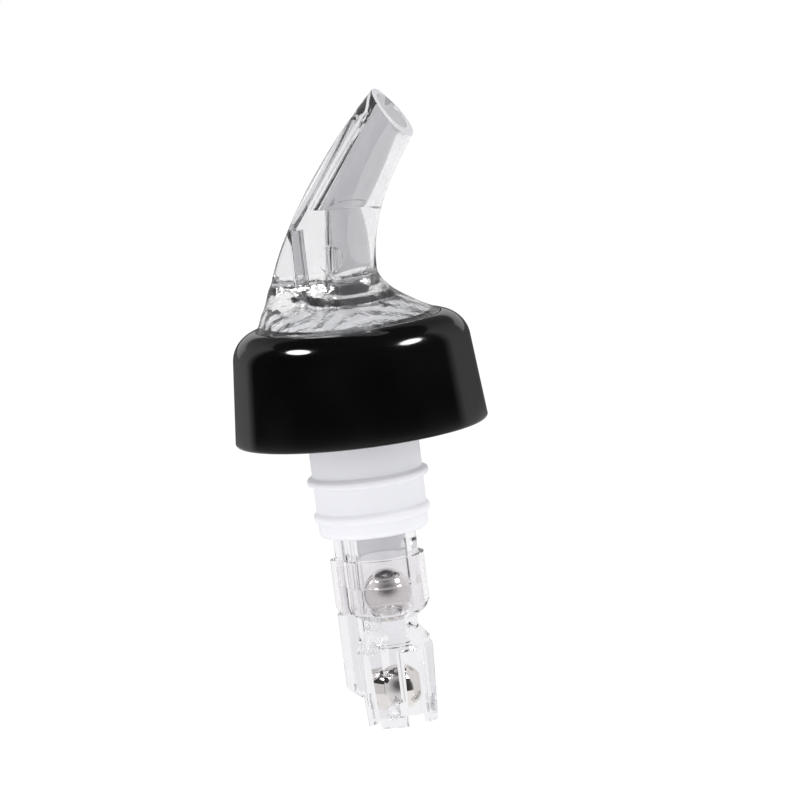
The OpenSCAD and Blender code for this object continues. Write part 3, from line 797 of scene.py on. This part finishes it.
# Materials: a node's inputs are fed as it is added


def feed(tree, socket, value):
    """Link an output to a socket, or set the socket's own value."""
    if isinstance(value, bpy.types.NodeSocket):
        tree.links.new(value, socket)
    else:
        socket.default_value = value


def add(tree, kind, inputs=None, **settings):
    """A shader node of a kind, with its settings and its inputs."""
    node = tree.nodes.new("ShaderNode" + kind)
    for name, value in settings.items():
        setattr(node, name, value)
    for name, value in (inputs or {}).items():
        feed(tree, node.inputs[name], value)
    return node


def calc(tree, operation, *values):
    return add(tree, "Math", dict(enumerate(values)), operation=operation).outputs["Value"]


def combine(tree, operation, *masks):
    """One mask out of several, by a Math operation."""
    whole = masks[0]
    for mask in masks[1:]:
        whole = calc(tree, operation, whole, mask)
    return whole


def blend(tree, mask, under, over, kind="FLOAT"):
    return add(tree, "Mix", {"Factor": mask, "A": under, "B": over}, data_type=kind).outputs["Result"]


def blend_colours(tree, mask, under, over):
    """Mix of two colours by a mask; the one underneath may be an output."""
    under = (*under, 1.0) if isinstance(under, tuple) else under
    return blend(tree, mask, under, (*over, 1.0), "RGBA")


def new_group(name, vectors, values, results):
    """A node group with its vector and value inputs, the sockets it is given and the ones it fills."""
    group = bpy.data.node_groups.new(name, "ShaderNodeTree")
    for label in vectors:
        group.interface.new_socket(label, in_out="INPUT", socket_type="NodeSocketVector")
    for label, value in values.items():
        socket = group.interface.new_socket(label, in_out="INPUT", socket_type="NodeSocketFloat")
        socket.default_value = value
    for label in results:
        group.interface.new_socket(label, in_out="OUTPUT", socket_type="NodeSocketFloat")
    return group, group.nodes.new("NodeGroupInput").outputs, group.nodes.new("NodeGroupOutput").inputs


def mould_ripple_group():
    """Faint flow waves and fine unevenness of moulded plastic, as a height and a cloudy mask."""
    group, given, filled = new_group(
        "mould_ripple", ["Vector"], {"Wave Scale": 90.0, "Fine Scale": 700.0, "Fine Share": 0.2}, ["Height", "Cloud"])
    waves = add(group, "TexNoise", {"Vector": given["Vector"], "Scale": given["Wave Scale"], "Detail": 1.0,
                                    "Roughness": 0.4}).outputs["Fac"]
    fine = add(group, "TexNoise", {"Vector": given["Vector"], "Scale": given["Fine Scale"], "Detail": 3.0,
                                   "Roughness": 0.6}).outputs["Fac"]
    cloud = add(group, "MapRange", {"Value": waves, "From Min": 0.35, "From Max": 0.7})
    feed(group, filled["Height"], blend(group, given["Fine Share"], waves, fine))
    feed(group, filled["Cloud"], cloud.outputs["Result"])
    return group


def handling_marks_group():
    """Dust specks and hair scratches, as masks from 0 to 1."""
    group, given, filled = new_group(
        "handling_marks", ["Vector"],
        {"Speck Scale": 220.0, "Speck Size": 0.06, "Speck Share": 0.06, "Scratch Scale": 60.0,
         "Scratch Width": 0.0008},
        ["Specks", "Scratches"])
    cells = add(group, "TexVoronoi", {"Vector": given["Vector"], "Scale": given["Speck Scale"]})
    draw = add(group, "SeparateColor", {"Color": cells.outputs["Color"]}).outputs["Red"]
    near = calc(group, "LESS_THAN", cells.outputs["Distance"], given["Speck Size"])
    chosen = calc(group, "LESS_THAN", draw, given["Speck Share"])
    feed(group, filled["Specks"], calc(group, "MULTIPLY", near, chosen))

    stretch = add(group, "Mapping", {"Vector": given["Vector"], "Scale": (1.0, 1.0, 0.18),
                                     "Rotation": (0.35, 0.2, 0.0)})
    lines = add(group, "TexNoise", {"Vector": stretch.outputs["Vector"], "Scale": given["Scratch Scale"],
                                    "Detail": 1.0, "Distortion": 0.6})
    middle = calc(group, "ABSOLUTE", calc(group, "SUBTRACT", lines.outputs["Fac"], 0.5))
    thin = calc(group, "LESS_THAN", middle, given["Scratch Width"])
    patches = add(group, "TexNoise", {"Vector": given["Vector"], "Scale": 140.0, "Detail": 1.0})
    kept = calc(group, "GREATER_THAN", patches.outputs["Fac"], 0.6)
    feed(group, filled["Scratches"], calc(group, "MULTIPLY", thin, kept))
    return group


def near_axis_group():
    """Mask of 1 within a radius of an axis, between two distances along it."""
    group, given, filled = new_group(
        "near_axis", ["Vector", "Spot", "Way"], {"Radius": 0.0, "Start": 0.0, "End": 0.0}, ["Mask"])
    off = add(group, "VectorMath", {0: given["Vector"], 1: given["Spot"]}, operation="SUBTRACT").outputs["Vector"]
    along = add(group, "VectorMath", {0: off, 1: given["Way"]}, operation="DOT_PRODUCT").outputs["Value"]
    foot = add(group, "VectorMath", {0: given["Way"], "Scale": along}, operation="SCALE").outputs["Vector"]
    apart = add(group, "VectorMath", {0: off, 1: foot}, operation="DISTANCE").outputs["Value"]
    near = calc(group, "LESS_THAN", apart, given["Radius"])
    past = calc(group, "GREATER_THAN", along, given["Start"])
    short = calc(group, "LESS_THAN", along, given["End"])
    feed(group, filled["Mask"], combine(group, "MULTIPLY", near, past, short))
    return group


MOULD_RIPPLE = mould_ripple_group()
HANDLING_MARKS = handling_marks_group()
NEAR_AXIS = near_axis_group()


def new_material(name):
    finish = bpy.data.materials.new(name)
    finish.use_nodes = True
    return finish, finish.node_tree


def moulded_finish(name, shader_values, tones, gloss, bump, mark_tones=None, mark_gloss=None):
    """A material whose colour and gloss drift with the mould's ripple, under its own marks."""
    finish, tree = new_material(name)
    shader = tree.nodes["Principled BSDF"].inputs
    for label, value in shader_values.items():
        shader[label].default_value = value
    place = add(tree, "TexCoord").outputs["Object"]
    ripple = add(tree, "Group", {"Vector": place}, node_tree=MOULD_RIPPLE).outputs
    marks = add(tree, "Group", {"Vector": place}, node_tree=HANDLING_MARKS).outputs
    colour = blend_colours(tree, ripple["Cloud"], *tones)
    for label, tone in (mark_tones or {}).items():
        colour = blend_colours(tree, marks[label], colour, tone)
    roughness = blend(tree, ripple["Cloud"], *gloss)
    for label, value in (mark_gloss or {}).items():
        roughness = blend(tree, marks[label], roughness, value)
    strength, distance = bump
    relief = add(tree, "Bump", {"Height": ripple["Height"], "Strength": strength, "Distance": distance})
    feed(tree, shader["Base Color"], colour)
    feed(tree, shader["Roughness"], roughness)
    feed(tree, shader["Normal"], relief.outputs["Normal"])
    return finish


def nearness(tree, spot, way, radius, start, end):
    """Mask of the surfaces near an axis, from sizes in millimetres."""
    return add(tree, "Group", {
        "Vector": add(tree, "TexCoord").outputs["Object"], "Spot": Vector(spot) * MM, "Way": way,
        "Radius": radius * MM, "Start": start * MM, "End": end * MM}, node_tree=NEAR_AXIS).outputs["Mask"]


def tint_over(finish, mask, colour):
    """Tint the surfaces of a mask; this paints shade in the bores and light on the skirt."""
    tree = finish.node_tree
    base = tree.nodes["Principled BSDF"].inputs["Base Color"]
    feed(tree, base, blend_colours(tree, mask, base.links[0].from_socket, colour))


def rough_bump(finish, mask, scale, strength, distance):
    """Uneven folds on the surfaces of a mask, over the bump that is there."""
    tree = finish.node_tree
    normal = tree.nodes["Principled BSDF"].inputs["Normal"]
    folds = add(tree, "TexNoise", {"Vector": add(tree, "TexCoord").outputs["Object"], "Scale": scale,
                                   "Detail": 2.5, "Distortion": 1.5})
    height = calc(tree, "MULTIPLY", folds.outputs["Fac"], mask)
    uneven = add(tree, "Bump", {"Height": height, "Strength": strength, "Distance": distance,
                                "Normal": normal.links[0].from_socket})
    feed(tree, normal, uneven.outputs["Normal"])


def clear_styrene(name, bright, dim, bend, clearness):
    return moulded_finish(
        name, {"IOR": bend, "Transmission Weight": clearness}, tones=(bright, dim),
        gloss=(0.0, 0.02), mark_gloss={"Scratches": 0.25}, bump=(0.04, 0.0004))


def spout_styrene():
    """The spout's clear plastic, with painted shade as a grey tint down one side of its bores, a paler tint of
    painted light on the skirt, and an uneven skirt.
    """
    finish = clear_styrene("spout_styrene_finish", bright=(0.92, 0.92, 0.93), dim=(0.89, 0.89, 0.905),
                           bend=1.57, clearness=0.97)
    tree = finish.node_tree
    foot, wide_foot, way, length = upper_bore_axis()
    painted_shade_way = (foot + length * way - wide_foot).normalized()
    mouth = (MOUTH_MIDDLE.x, 0, MOUTH_MIDDLE.y)
    outwards = (MOUTH_OUT.x, 0, MOUTH_OUT.y)
    well = below_back(VENT_START_PLACE, VENT_START_DEPTH)
    far = 2 * TIP.y
    # Painted shade: a grey tint on the half of the bores and vent well away from the camera darkens them.
    far_side = nearness(tree, ORIGIN, (0, 1, 0), far, 0, SKIRT_R)
    lower = nearness(tree, (BORE_X + SEAT_BORE_SHIFT, 0, 0), UPRIGHT, BALL_BORE_R, UPPER_STOP, KNEE.y)
    slant = nearness(tree, (wide_foot.x, 0, wide_foot.y), (painted_shade_way.x, 0, painted_shade_way.y), BORE_PAINTED_SHADE_R,
                     -MOUTH_R, length + MOUTH_R)
    above_knee = nearness(tree, ORIGIN, UPRIGHT, 2 * SKIRT_R, KNEE.y, TIP.y)
    below_rim = nearness(tree, mouth, outwards, far, -far, LIP_ROUND - FIT_GAP)
    vent = nearness(tree, (well.x + VENT_WELL_STEP, 0, 0), UPRIGHT, VENT_WELL_FOOT_R + FIT_GAP, CEILING, well.y)
    upper = combine(tree, "MULTIPLY", slant, above_knee, below_rim)
    painted_shade_mask = combine(tree, "MAXIMUM", lower, upper, vent)
    tint_over(finish, calc(tree, "MULTIPLY", painted_shade_mask, far_side), SPOUT_PAINTED_SHADE)

    rim = nearness(tree, mouth, outwards, 2 * MOUTH_R, -FIT_GAP, 2 * LIP_ROUND)
    roughness = tree.nodes["Principled BSDF"].inputs["Roughness"]
    feed(tree, roughness, blend(tree, rim, roughness.links[0].from_socket, RIM_ROUGHNESS))

    # Painted light: a paler tint on the skirt makes it brighter than the rest of the spout.
    skirt = nearness(tree, ORIGIN, UPRIGHT, 2 * SKIRT_R, COLLAR_TOP, STEM_LOW)
    tint_over(finish, skirt, SKIRT_PAINTED_LIGHT)
    rough_bump(finish, skirt, scale=420.0, strength=0.5, distance=0.0004)
    return finish


def tube_styrene():
    """The tube's clear plastic, with painted shade in its bore: the grey tint of the spout's bores."""
    finish = clear_styrene("tube_styrene_finish", bright=(0.95, 0.948, 0.962), dim=(0.925, 0.923, 0.94),
                           bend=1.4, clearness=1.0)
    bore = nearness(finish.node_tree, (BORE_X, 0, 0), UPRIGHT, BALL_BORE_R + FIT_GAP, SLEEVE_HIGH, TUBE_HIGH)
    # Painted shade: a grey tint on the bore's walls darkens the view down the bore.
    tint_over(finish, bore, TUBE_PAINTED_SHADE)
    return finish


def cage_styrene():
    """The cage's clear plastic, with a lace of glue round its neck."""
    finish = clear_styrene("clear_styrene_finish", bright=(0.9, 0.897, 0.915), dim=(0.87, 0.867, 0.885),
                           bend=1.25, clearness=1.0)
    neck = nearness(finish.node_tree, GLUE_SPOT, UPRIGHT, GLUE_R, SLOT_TOP, SLEEVE_LOW)
    rough_bump(finish, neck, scale=1300.0, strength=0.9, distance=0.0006)
    return finish


def worn_and_highlight_edge():
    """The whitened face of a worn rim, a moulding seam or a dimple, whose white also serves as a painted highlight
    along these edges.
    """
    return moulded_finish(
        "worn_and_highlight_edge_finish", {"IOR": 1.5, "Transmission Weight": 0.35},
        tones=((0.93, 0.93, 0.95), (0.85, 0.85, 0.87)), mark_tones={"Specks": (0.6, 0.6, 0.6)},
        gloss=(0.42, 0.6), bump=(0.1, 0.0003))


def black_gloss():
    return moulded_finish(
        "black_gloss_finish", {"IOR": 1.5}, tones=((0.002, 0.002, 0.0022), (0.0038, 0.0034, 0.0034)),
        mark_tones={"Scratches": (0.006, 0.006, 0.0065), "Specks": (0.06, 0.055, 0.05)},
        gloss=(0.09, 0.12), mark_gloss={"Scratches": 0.14, "Specks": 0.7}, bump=(0.02, 0.0003))


def white_polythene():
    return moulded_finish(
        "white_polythene_finish",
        {"IOR": 1.5, "Subsurface Weight": 0.6, "Subsurface Radius": (1.0, 0.97, 0.97), "Subsurface Scale": 0.003},
        tones=((0.86, 0.862, 0.893), (0.88, 0.882, 0.91)), mark_tones={"Specks": (0.7, 0.69, 0.69)},
        gloss=(0.34, 0.44), mark_gloss={"Scratches": 0.6}, bump=(0.06, 0.0003))


def milky_polypropylene():
    return moulded_finish(
        "milky_polypropylene_finish", {"IOR": 1.25, "Transmission Weight": 0.985},
        tones=((0.965, 0.952, 0.96), (0.94, 0.927, 0.936)), mark_tones={"Specks": (0.2, 0.18, 0.17)},
        gloss=(0.005, 0.03), mark_gloss={"Scratches": 0.35}, bump=(0.05, 0.0003))


def polished_steel():
    return moulded_finish(
        "polished_steel_finish", {"Metallic": 1.0}, tones=((0.8, 0.775, 0.75), (0.72, 0.695, 0.67)),
        gloss=(0.08, 0.14), mark_gloss={"Scratches": 0.35}, bump=(0.02, 0.0002))


STEEL = polished_steel()
# The worn finish's whitened faces also serve as painted highlights on the rim, seam and dimples.
WORN_AND_HIGHLIGHT = worn_and_highlight_edge()


def place_piece(piece, node, body, finish, crease, is_worn_and_highlit=None):
    """Smooth a finished piece, give it its material and let it stand for its node."""
    pick(piece)
    bpy.ops.object.mode_set(mode="EDIT")
    close_mesh()
    bpy.ops.object.shade_smooth_by_angle(angle=crease)
    piece.data.materials.clear()
    piece.data.materials.append(finish)
    if is_worn_and_highlit:
        wear_and_highlight(piece, is_worn_and_highlit)
    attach(piece, body)
    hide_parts(node)


def wear_and_highlight(piece, is_worn_and_highlit):
    """Give the worn finish, partly painted highlight, to the faces of a piece that a test picks by their middle and
    normal.
    """
    piece.data.materials.append(WORN_AND_HIGHLIGHT)
    for face in piece.data.polygons:
        if is_worn_and_highlit(face.center / MM, face.normal):
            face.material_index = 1


def on_rim_or_seam(spot, normal):
    over_mouth = (Vector((spot.x, spot.z)) - TIP).dot(MOUTH_OUT)
    return over_mouth > FIT_GAP or abs(spot.z - KNEE.y) < 2 * FIT_GAP and abs(normal.z) > SEAM_LEVEL


def in_dimple(spot, _normal):
    """Walls and floor of the drop-shaped dimples in the cage's fingers."""
    along, across = sorted((abs(spot.x - BORE_X), abs(spot.y)), reverse=True)
    rise = spot.z - (NUB_HIGH - NUB_H / 2)
    floor = FINGER_R - FINGER_TAPER - DIMPLE_DEPTH
    return (floor - CAGE_BEVEL < along < floor + DIMPLE_WORN_AND_HIGHLIT * DIMPLE_DEPTH and across < DIMPLE_R + CAGE_BEVEL
            and -DIMPLE_R - CAGE_BEVEL < rise < NUB_H + CAGE_BEVEL)


place_piece(make_spout(), "spout", "pourer", spout_styrene(), MOULDED_CREASE, on_rim_or_seam)
place_piece(make_collar(), "collar", "pourer", black_gloss(), MOULDED_CREASE)
place_piece(make_cork(), "cork", "pourer", white_polythene(), MOULDED_CREASE)
place_piece(make_tube(), "measuring_tube", "pourer", tube_styrene(), BEVELLED_CREASE)
place_piece(make_sleeve(), "coupling_sleeve", "pourer", milky_polypropylene(), BEVELLED_CREASE)
place_piece(make_cage(), "valve_cage", "pourer", cage_styrene(), BEVELLED_CREASE, in_dimple)
place_piece(make_ball("control_steel_ball", CONTROL_BALL_Z), "control_ball", "control_ball",
            STEEL, BALL_CREASE)
place_piece(make_ball("check_steel_ball", CHECK_BALL_Z), "check_ball", "check_ball",
            STEEL, BALL_CREASE)


# Studio: white world, pale floor and two softboxes. Gloss alone sees the dark screen, the dark ceiling, the white
# strip and the low reflector. Rays through the clear pieces alone see the dim cards and the left glint.

VIEW_AZIMUTH = radians(15)
VIEW_ELEVATION = radians(8)
VIEW_ROLL = radians(7.1)
VIEW_DISTANCE = 1000.0
PIXELS_PER_MM = 6.05
IMAGE_SIDE = 800
SENSOR = 36.0
AIM_POINT = Vector((0, 0, -9.5))
AIM_PIXEL = (362.0, 430.5)

CAMERA_SIDE = VIEW_AZIMUTH - pi / 2
FAR_SIDE = VIEW_AZIMUTH + pi / 2
SIGHT_RIGHT = Vector((cos(VIEW_AZIMUTH), sin(VIEW_AZIMUTH), 0))
SIGHT_BACK = Vector((sin(VIEW_AZIMUTH) * cos(VIEW_ELEVATION), -cos(VIEW_AZIMUTH) * cos(VIEW_ELEVATION),
                     sin(VIEW_ELEVATION)))
SIGHT_UP = SIGHT_BACK.cross(SIGHT_RIGHT)

# Sizes of the studio are in metres. A span is (low, high), a glow lists (degrees from its sight line, level).
PURE_WHITE = (1, 1, 1, 1)
FILL_COLOUR = (0.98, 0.98, 1, 1)
FILL_LEVEL = 1.2
MATT = 0.9
FLOOR_Z = -0.13
FLOOR_HALF = 2.5
FLOOR_COLOUR = (0.9, 0.9, 0.9)
FLOOR_GLOW = 1.03
FLOOR_GLOW_SHARE = 0.94
SHEET_STEPS = 24
SCREEN_R = 0.75
SCREEN_SPREAD = pi
SCREEN_SPAN = (-0.12, 0.75)
SCREEN_GLOW = ((0, 0.008), (105, 0.008), (118, 0.5), (140, 0.26), (158, 0.12), (180, 0.1))
SCREEN_TURN = radians(-6)
STRIP_R = 0.74
STRIP_SPREAD = radians(38)
STRIP_SPAN = (0.06, 0.26)
STRIP_GLOW = ((0, 0.6), (180, 0.6))
CEILING_Z = 0.76
CEILING_HALF = 0.9
CEILING_COLOUR = (0.012, 0.011, 0.011)
REFLECTOR_R = 0.06
REFLECTOR_SPAN = (-0.07, -0.021)
REFLECTOR_TURN = radians(34)
REFLECTOR_GLOW = ((0, 0.04), (22, 0.07), (42, 0.45), (60, 0.7), (90, 0.75))
CARD_R = 0.7
CARD_SPREAD = radians(80)
CARD_SPAN = (-0.12, 1.5)
CARD_RISE = radians(13)
CARD_GLOW = ((0, 0.1), (18, 0.14), (36, 0.5), (55, 0.85), (70, 1.0))
GLINT_R = 0.7
GLINT_AZIMUTH = radians(177)
GLINT_SPREAD = radians(16)
GLINT_SPAN = (0.3, 1.0)
GLINT_GLOW = ((0, 1.0), (180, 1.0))
GLINT_STRENGTH = 2.0
SOFTBOX_WAYS = {"left_softbox": (-0.534, -0.324, 0.78), "right_softbox": (0.772, -0.062, 0.63)}
SOFTBOX_DISTANCE = 0.6
SOFTBOX_W = 0.24
SOFTBOX_H = 0.15
SOFTBOX_POWER = 2.4
BLIND_RAYS = ("camera", "diffuse", "shadow", "volume_scatter")
ONLY_GLOSS = (*BLIND_RAYS, "transmission")
ONLY_GLASS = (*BLIND_RAYS, "glossy")


def make_camera():
    right = SIGHT_RIGHT * cos(VIEW_ROLL) - SIGHT_UP * sin(VIEW_ROLL)
    up = SIGHT_RIGHT * sin(VIEW_ROLL) + SIGHT_UP * cos(VIEW_ROLL)
    middle = IMAGE_SIDE / 2
    target = AIM_POINT + right * (middle - AIM_PIXEL[0]) / PIXELS_PER_MM
    target += up * (AIM_PIXEL[1] - middle) / PIXELS_PER_MM
    spot = (target + SIGHT_BACK * VIEW_DISTANCE) * MM
    lens = bpy.data.cameras.new("photo_camera")
    lens.sensor_width = SENSOR
    lens.lens = PIXELS_PER_MM * VIEW_DISTANCE / IMAGE_SIDE * SENSOR
    camera = bpy.data.objects.new("photo_camera", lens)
    turn = Matrix((right, up, SIGHT_BACK)).transposed()
    camera.matrix_world = Matrix.Translation(spot) @ turn.to_4x4()
    bpy.context.scene.collection.objects.link(camera)
    bpy.context.scene.camera = camera


def showing_rays(tree):
    """Mask of the rays that show a surface: from the camera, in gloss and through glass."""
    path = add(tree, "LightPath").outputs
    return combine(tree, "MAXIMUM", path["Is Camera Ray"], path["Is Glossy Ray"], path["Is Transmission Ray"])


def make_world():
    """White to the camera, in gloss and through glass, and another level as light."""
    world = bpy.data.worlds.new("white_studio")
    bpy.context.scene.world = world
    world.use_nodes = True
    tree = world.node_tree
    tree.nodes.clear()
    fill = add(tree, "Background", {"Color": FILL_COLOUR, "Strength": FILL_LEVEL})
    white = add(tree, "Background", {"Color": PURE_WHITE})
    choice = add(tree, "MixShader", {"Fac": showing_rays(tree), 1: fill.outputs["Background"],
                                     2: white.outputs["Background"]})
    add(tree, "OutputWorld", {"Surface": choice.outputs["Shader"]})


def plain_finish(name, colour):
    finish, tree = new_material(name)
    shader = tree.nodes["Principled BSDF"].inputs
    shader["Base Color"].default_value = (*colour, 1.0)
    shader["Roughness"].default_value = MATT
    return finish


def floor_finish():
    """Pale floor that the camera, gloss and glass see as white, with the object's shadow left on it."""
    finish = plain_finish("pale_floor_finish", FLOOR_COLOUR)
    tree = finish.node_tree
    glow = add(tree, "Emission", {"Color": PURE_WHITE, "Strength": FLOOR_GLOW})
    both = add(tree, "MixShader", {"Fac": calc(tree, "MULTIPLY", showing_rays(tree), FLOOR_GLOW_SHARE),
                                   1: tree.nodes["Principled BSDF"].outputs["BSDF"], 2: glow.outputs["Emission"]})
    feed(tree, tree.nodes["Material Output"].inputs["Surface"], both.outputs["Shader"])
    return finish


def glow_finish(name, sight, levels, flat=False, strength=1.0):
    """Light of its own whose level follows the angle from a sight line, as seen from the pourer."""
    finish, tree = new_material(name)
    tree.nodes.clear()
    place = add(tree, "TexCoord").outputs["Object"]
    level = add(tree, "VectorMath", {0: place, 1: (1, 1, 0 if flat else 1)}, operation="MULTIPLY")
    toward = add(tree, "VectorMath", {0: level.outputs["Vector"]}, operation="NORMALIZE")
    along = add(tree, "VectorMath", {0: toward.outputs["Vector"], 1: sight}, operation="DOT_PRODUCT")
    turn = calc(tree, "ARCCOSINE", along.outputs["Value"])
    fade = add(tree, "ValToRGB", {"Fac": calc(tree, "DIVIDE", turn, pi)})
    steps = fade.color_ramp.elements
    while len(steps) < len(levels):
        steps.new(0.5)
    for step, (angle, grey) in zip(steps, levels):
        step.position = angle / 180
        step.color = (grey, grey, grey, 1.0)
    glow = add(tree, "Emission", {"Color": fade.outputs["Color"], "Strength": strength})
    add(tree, "OutputMaterial", {"Surface": glow.outputs["Emission"]})
    return finish


def hide_from(piece, *rays):
    for ray in rays:
        setattr(piece, "visible_" + ray, False)


def stage_sheet(name, low, high, finish, hidden=()):
    """Flat or bowed sheet of the studio between two edges of points, hidden from some rays."""
    pick()
    columns = len(low)
    bpy.ops.mesh.primitive_grid_add(x_subdivisions=columns - 1, y_subdivisions=1, size=1)
    sheet = name_new(name)
    for vert in sheet.data.vertices:
        row, column = divmod(vert.index, columns)
        vert.co = Vector((high if row else low)[column])
    sheet.data.materials.append(finish)
    hide_from(sheet, *hidden)


def level_sheet(name, half, height, finish, hidden=()):
    near, far = [[(x, y, height) for x in (-half, half)] for y in (-half, half)]
    stage_sheet(name, near, far, finish, hidden)


def bowed_sheet(name, radius, spread, span, finish, hidden, middle=CAMERA_SIDE):
    """Upright sheet bowed round the pourer, on the camera's side unless told otherwise."""
    turns = [middle + spread * (i / SHEET_STEPS - 1) for i in range(2 * SHEET_STEPS + 1)]
    edges = [[(radius * cos(a), radius * sin(a), height) for a in turns] for height in span]
    stage_sheet(name, *edges, finish, hidden)


def level_way(azimuth):
    return Vector((cos(azimuth), sin(azimuth), 0))


def make_stage():
    level_sheet("pale_floor", FLOOR_HALF, FLOOR_Z, floor_finish())

    screen = glow_finish("dark_screen_finish", level_way(CAMERA_SIDE + SCREEN_TURN), SCREEN_GLOW, flat=True)
    bowed_sheet("dark_screen", SCREEN_R, SCREEN_SPREAD, SCREEN_SPAN, screen, ONLY_GLOSS)
    strip = glow_finish("white_strip_finish", SIGHT_BACK, STRIP_GLOW)
    bowed_sheet("white_strip", STRIP_R, STRIP_SPREAD, STRIP_SPAN, strip, ONLY_GLOSS, FAR_SIDE)
    ceiling = plain_finish("dark_ceiling_finish", CEILING_COLOUR)
    level_sheet("dark_ceiling", CEILING_HALF, CEILING_Z, ceiling, ONLY_GLOSS)
    reflector = glow_finish("low_reflector_finish", level_way(CAMERA_SIDE + REFLECTOR_TURN), REFLECTOR_GLOW,
                            flat=True)
    bowed_sheet("low_reflector", REFLECTOR_R, SCREEN_SPREAD, REFLECTOR_SPAN, reflector, ONLY_GLOSS)

    dim = glow_finish("dim_card_finish", SIGHT_BACK * cos(CARD_RISE) + SIGHT_UP * sin(CARD_RISE), CARD_GLOW)
    bowed_sheet("dim_card", CARD_R, CARD_SPREAD, CARD_SPAN, dim, ONLY_GLASS)
    level_sheet("dim_low_card", CARD_R, CARD_SPAN[0], dim, ONLY_GLASS)
    glint = glow_finish("glint_finish", SIGHT_BACK, GLINT_GLOW, strength=GLINT_STRENGTH)
    bowed_sheet("left_glint", GLINT_R, GLINT_SPREAD, GLINT_SPAN, glint, ONLY_GLASS, GLINT_AZIMUTH)


def softbox(name, way):
    lamp = bpy.data.lights.new(name, "AREA")
    lamp.shape = "ELLIPSE"
    lamp.size = SOFTBOX_W
    lamp.size_y = SOFTBOX_H
    lamp.energy = SOFTBOX_POWER
    box = bpy.data.objects.new(name, lamp)
    way = Vector(way).normalized()
    box.location = way * SOFTBOX_DISTANCE
    box.rotation_euler = way.to_track_quat("Z", "Y").to_euler()
    hide_from(box, "camera", "diffuse")
    bpy.context.scene.collection.objects.link(box)


make_camera()
make_world()
make_stage()
for name, way in SOFTBOX_WAYS.items():
    softbox(name, way)

bpy.context.scene.view_settings.view_transform = "Standard"
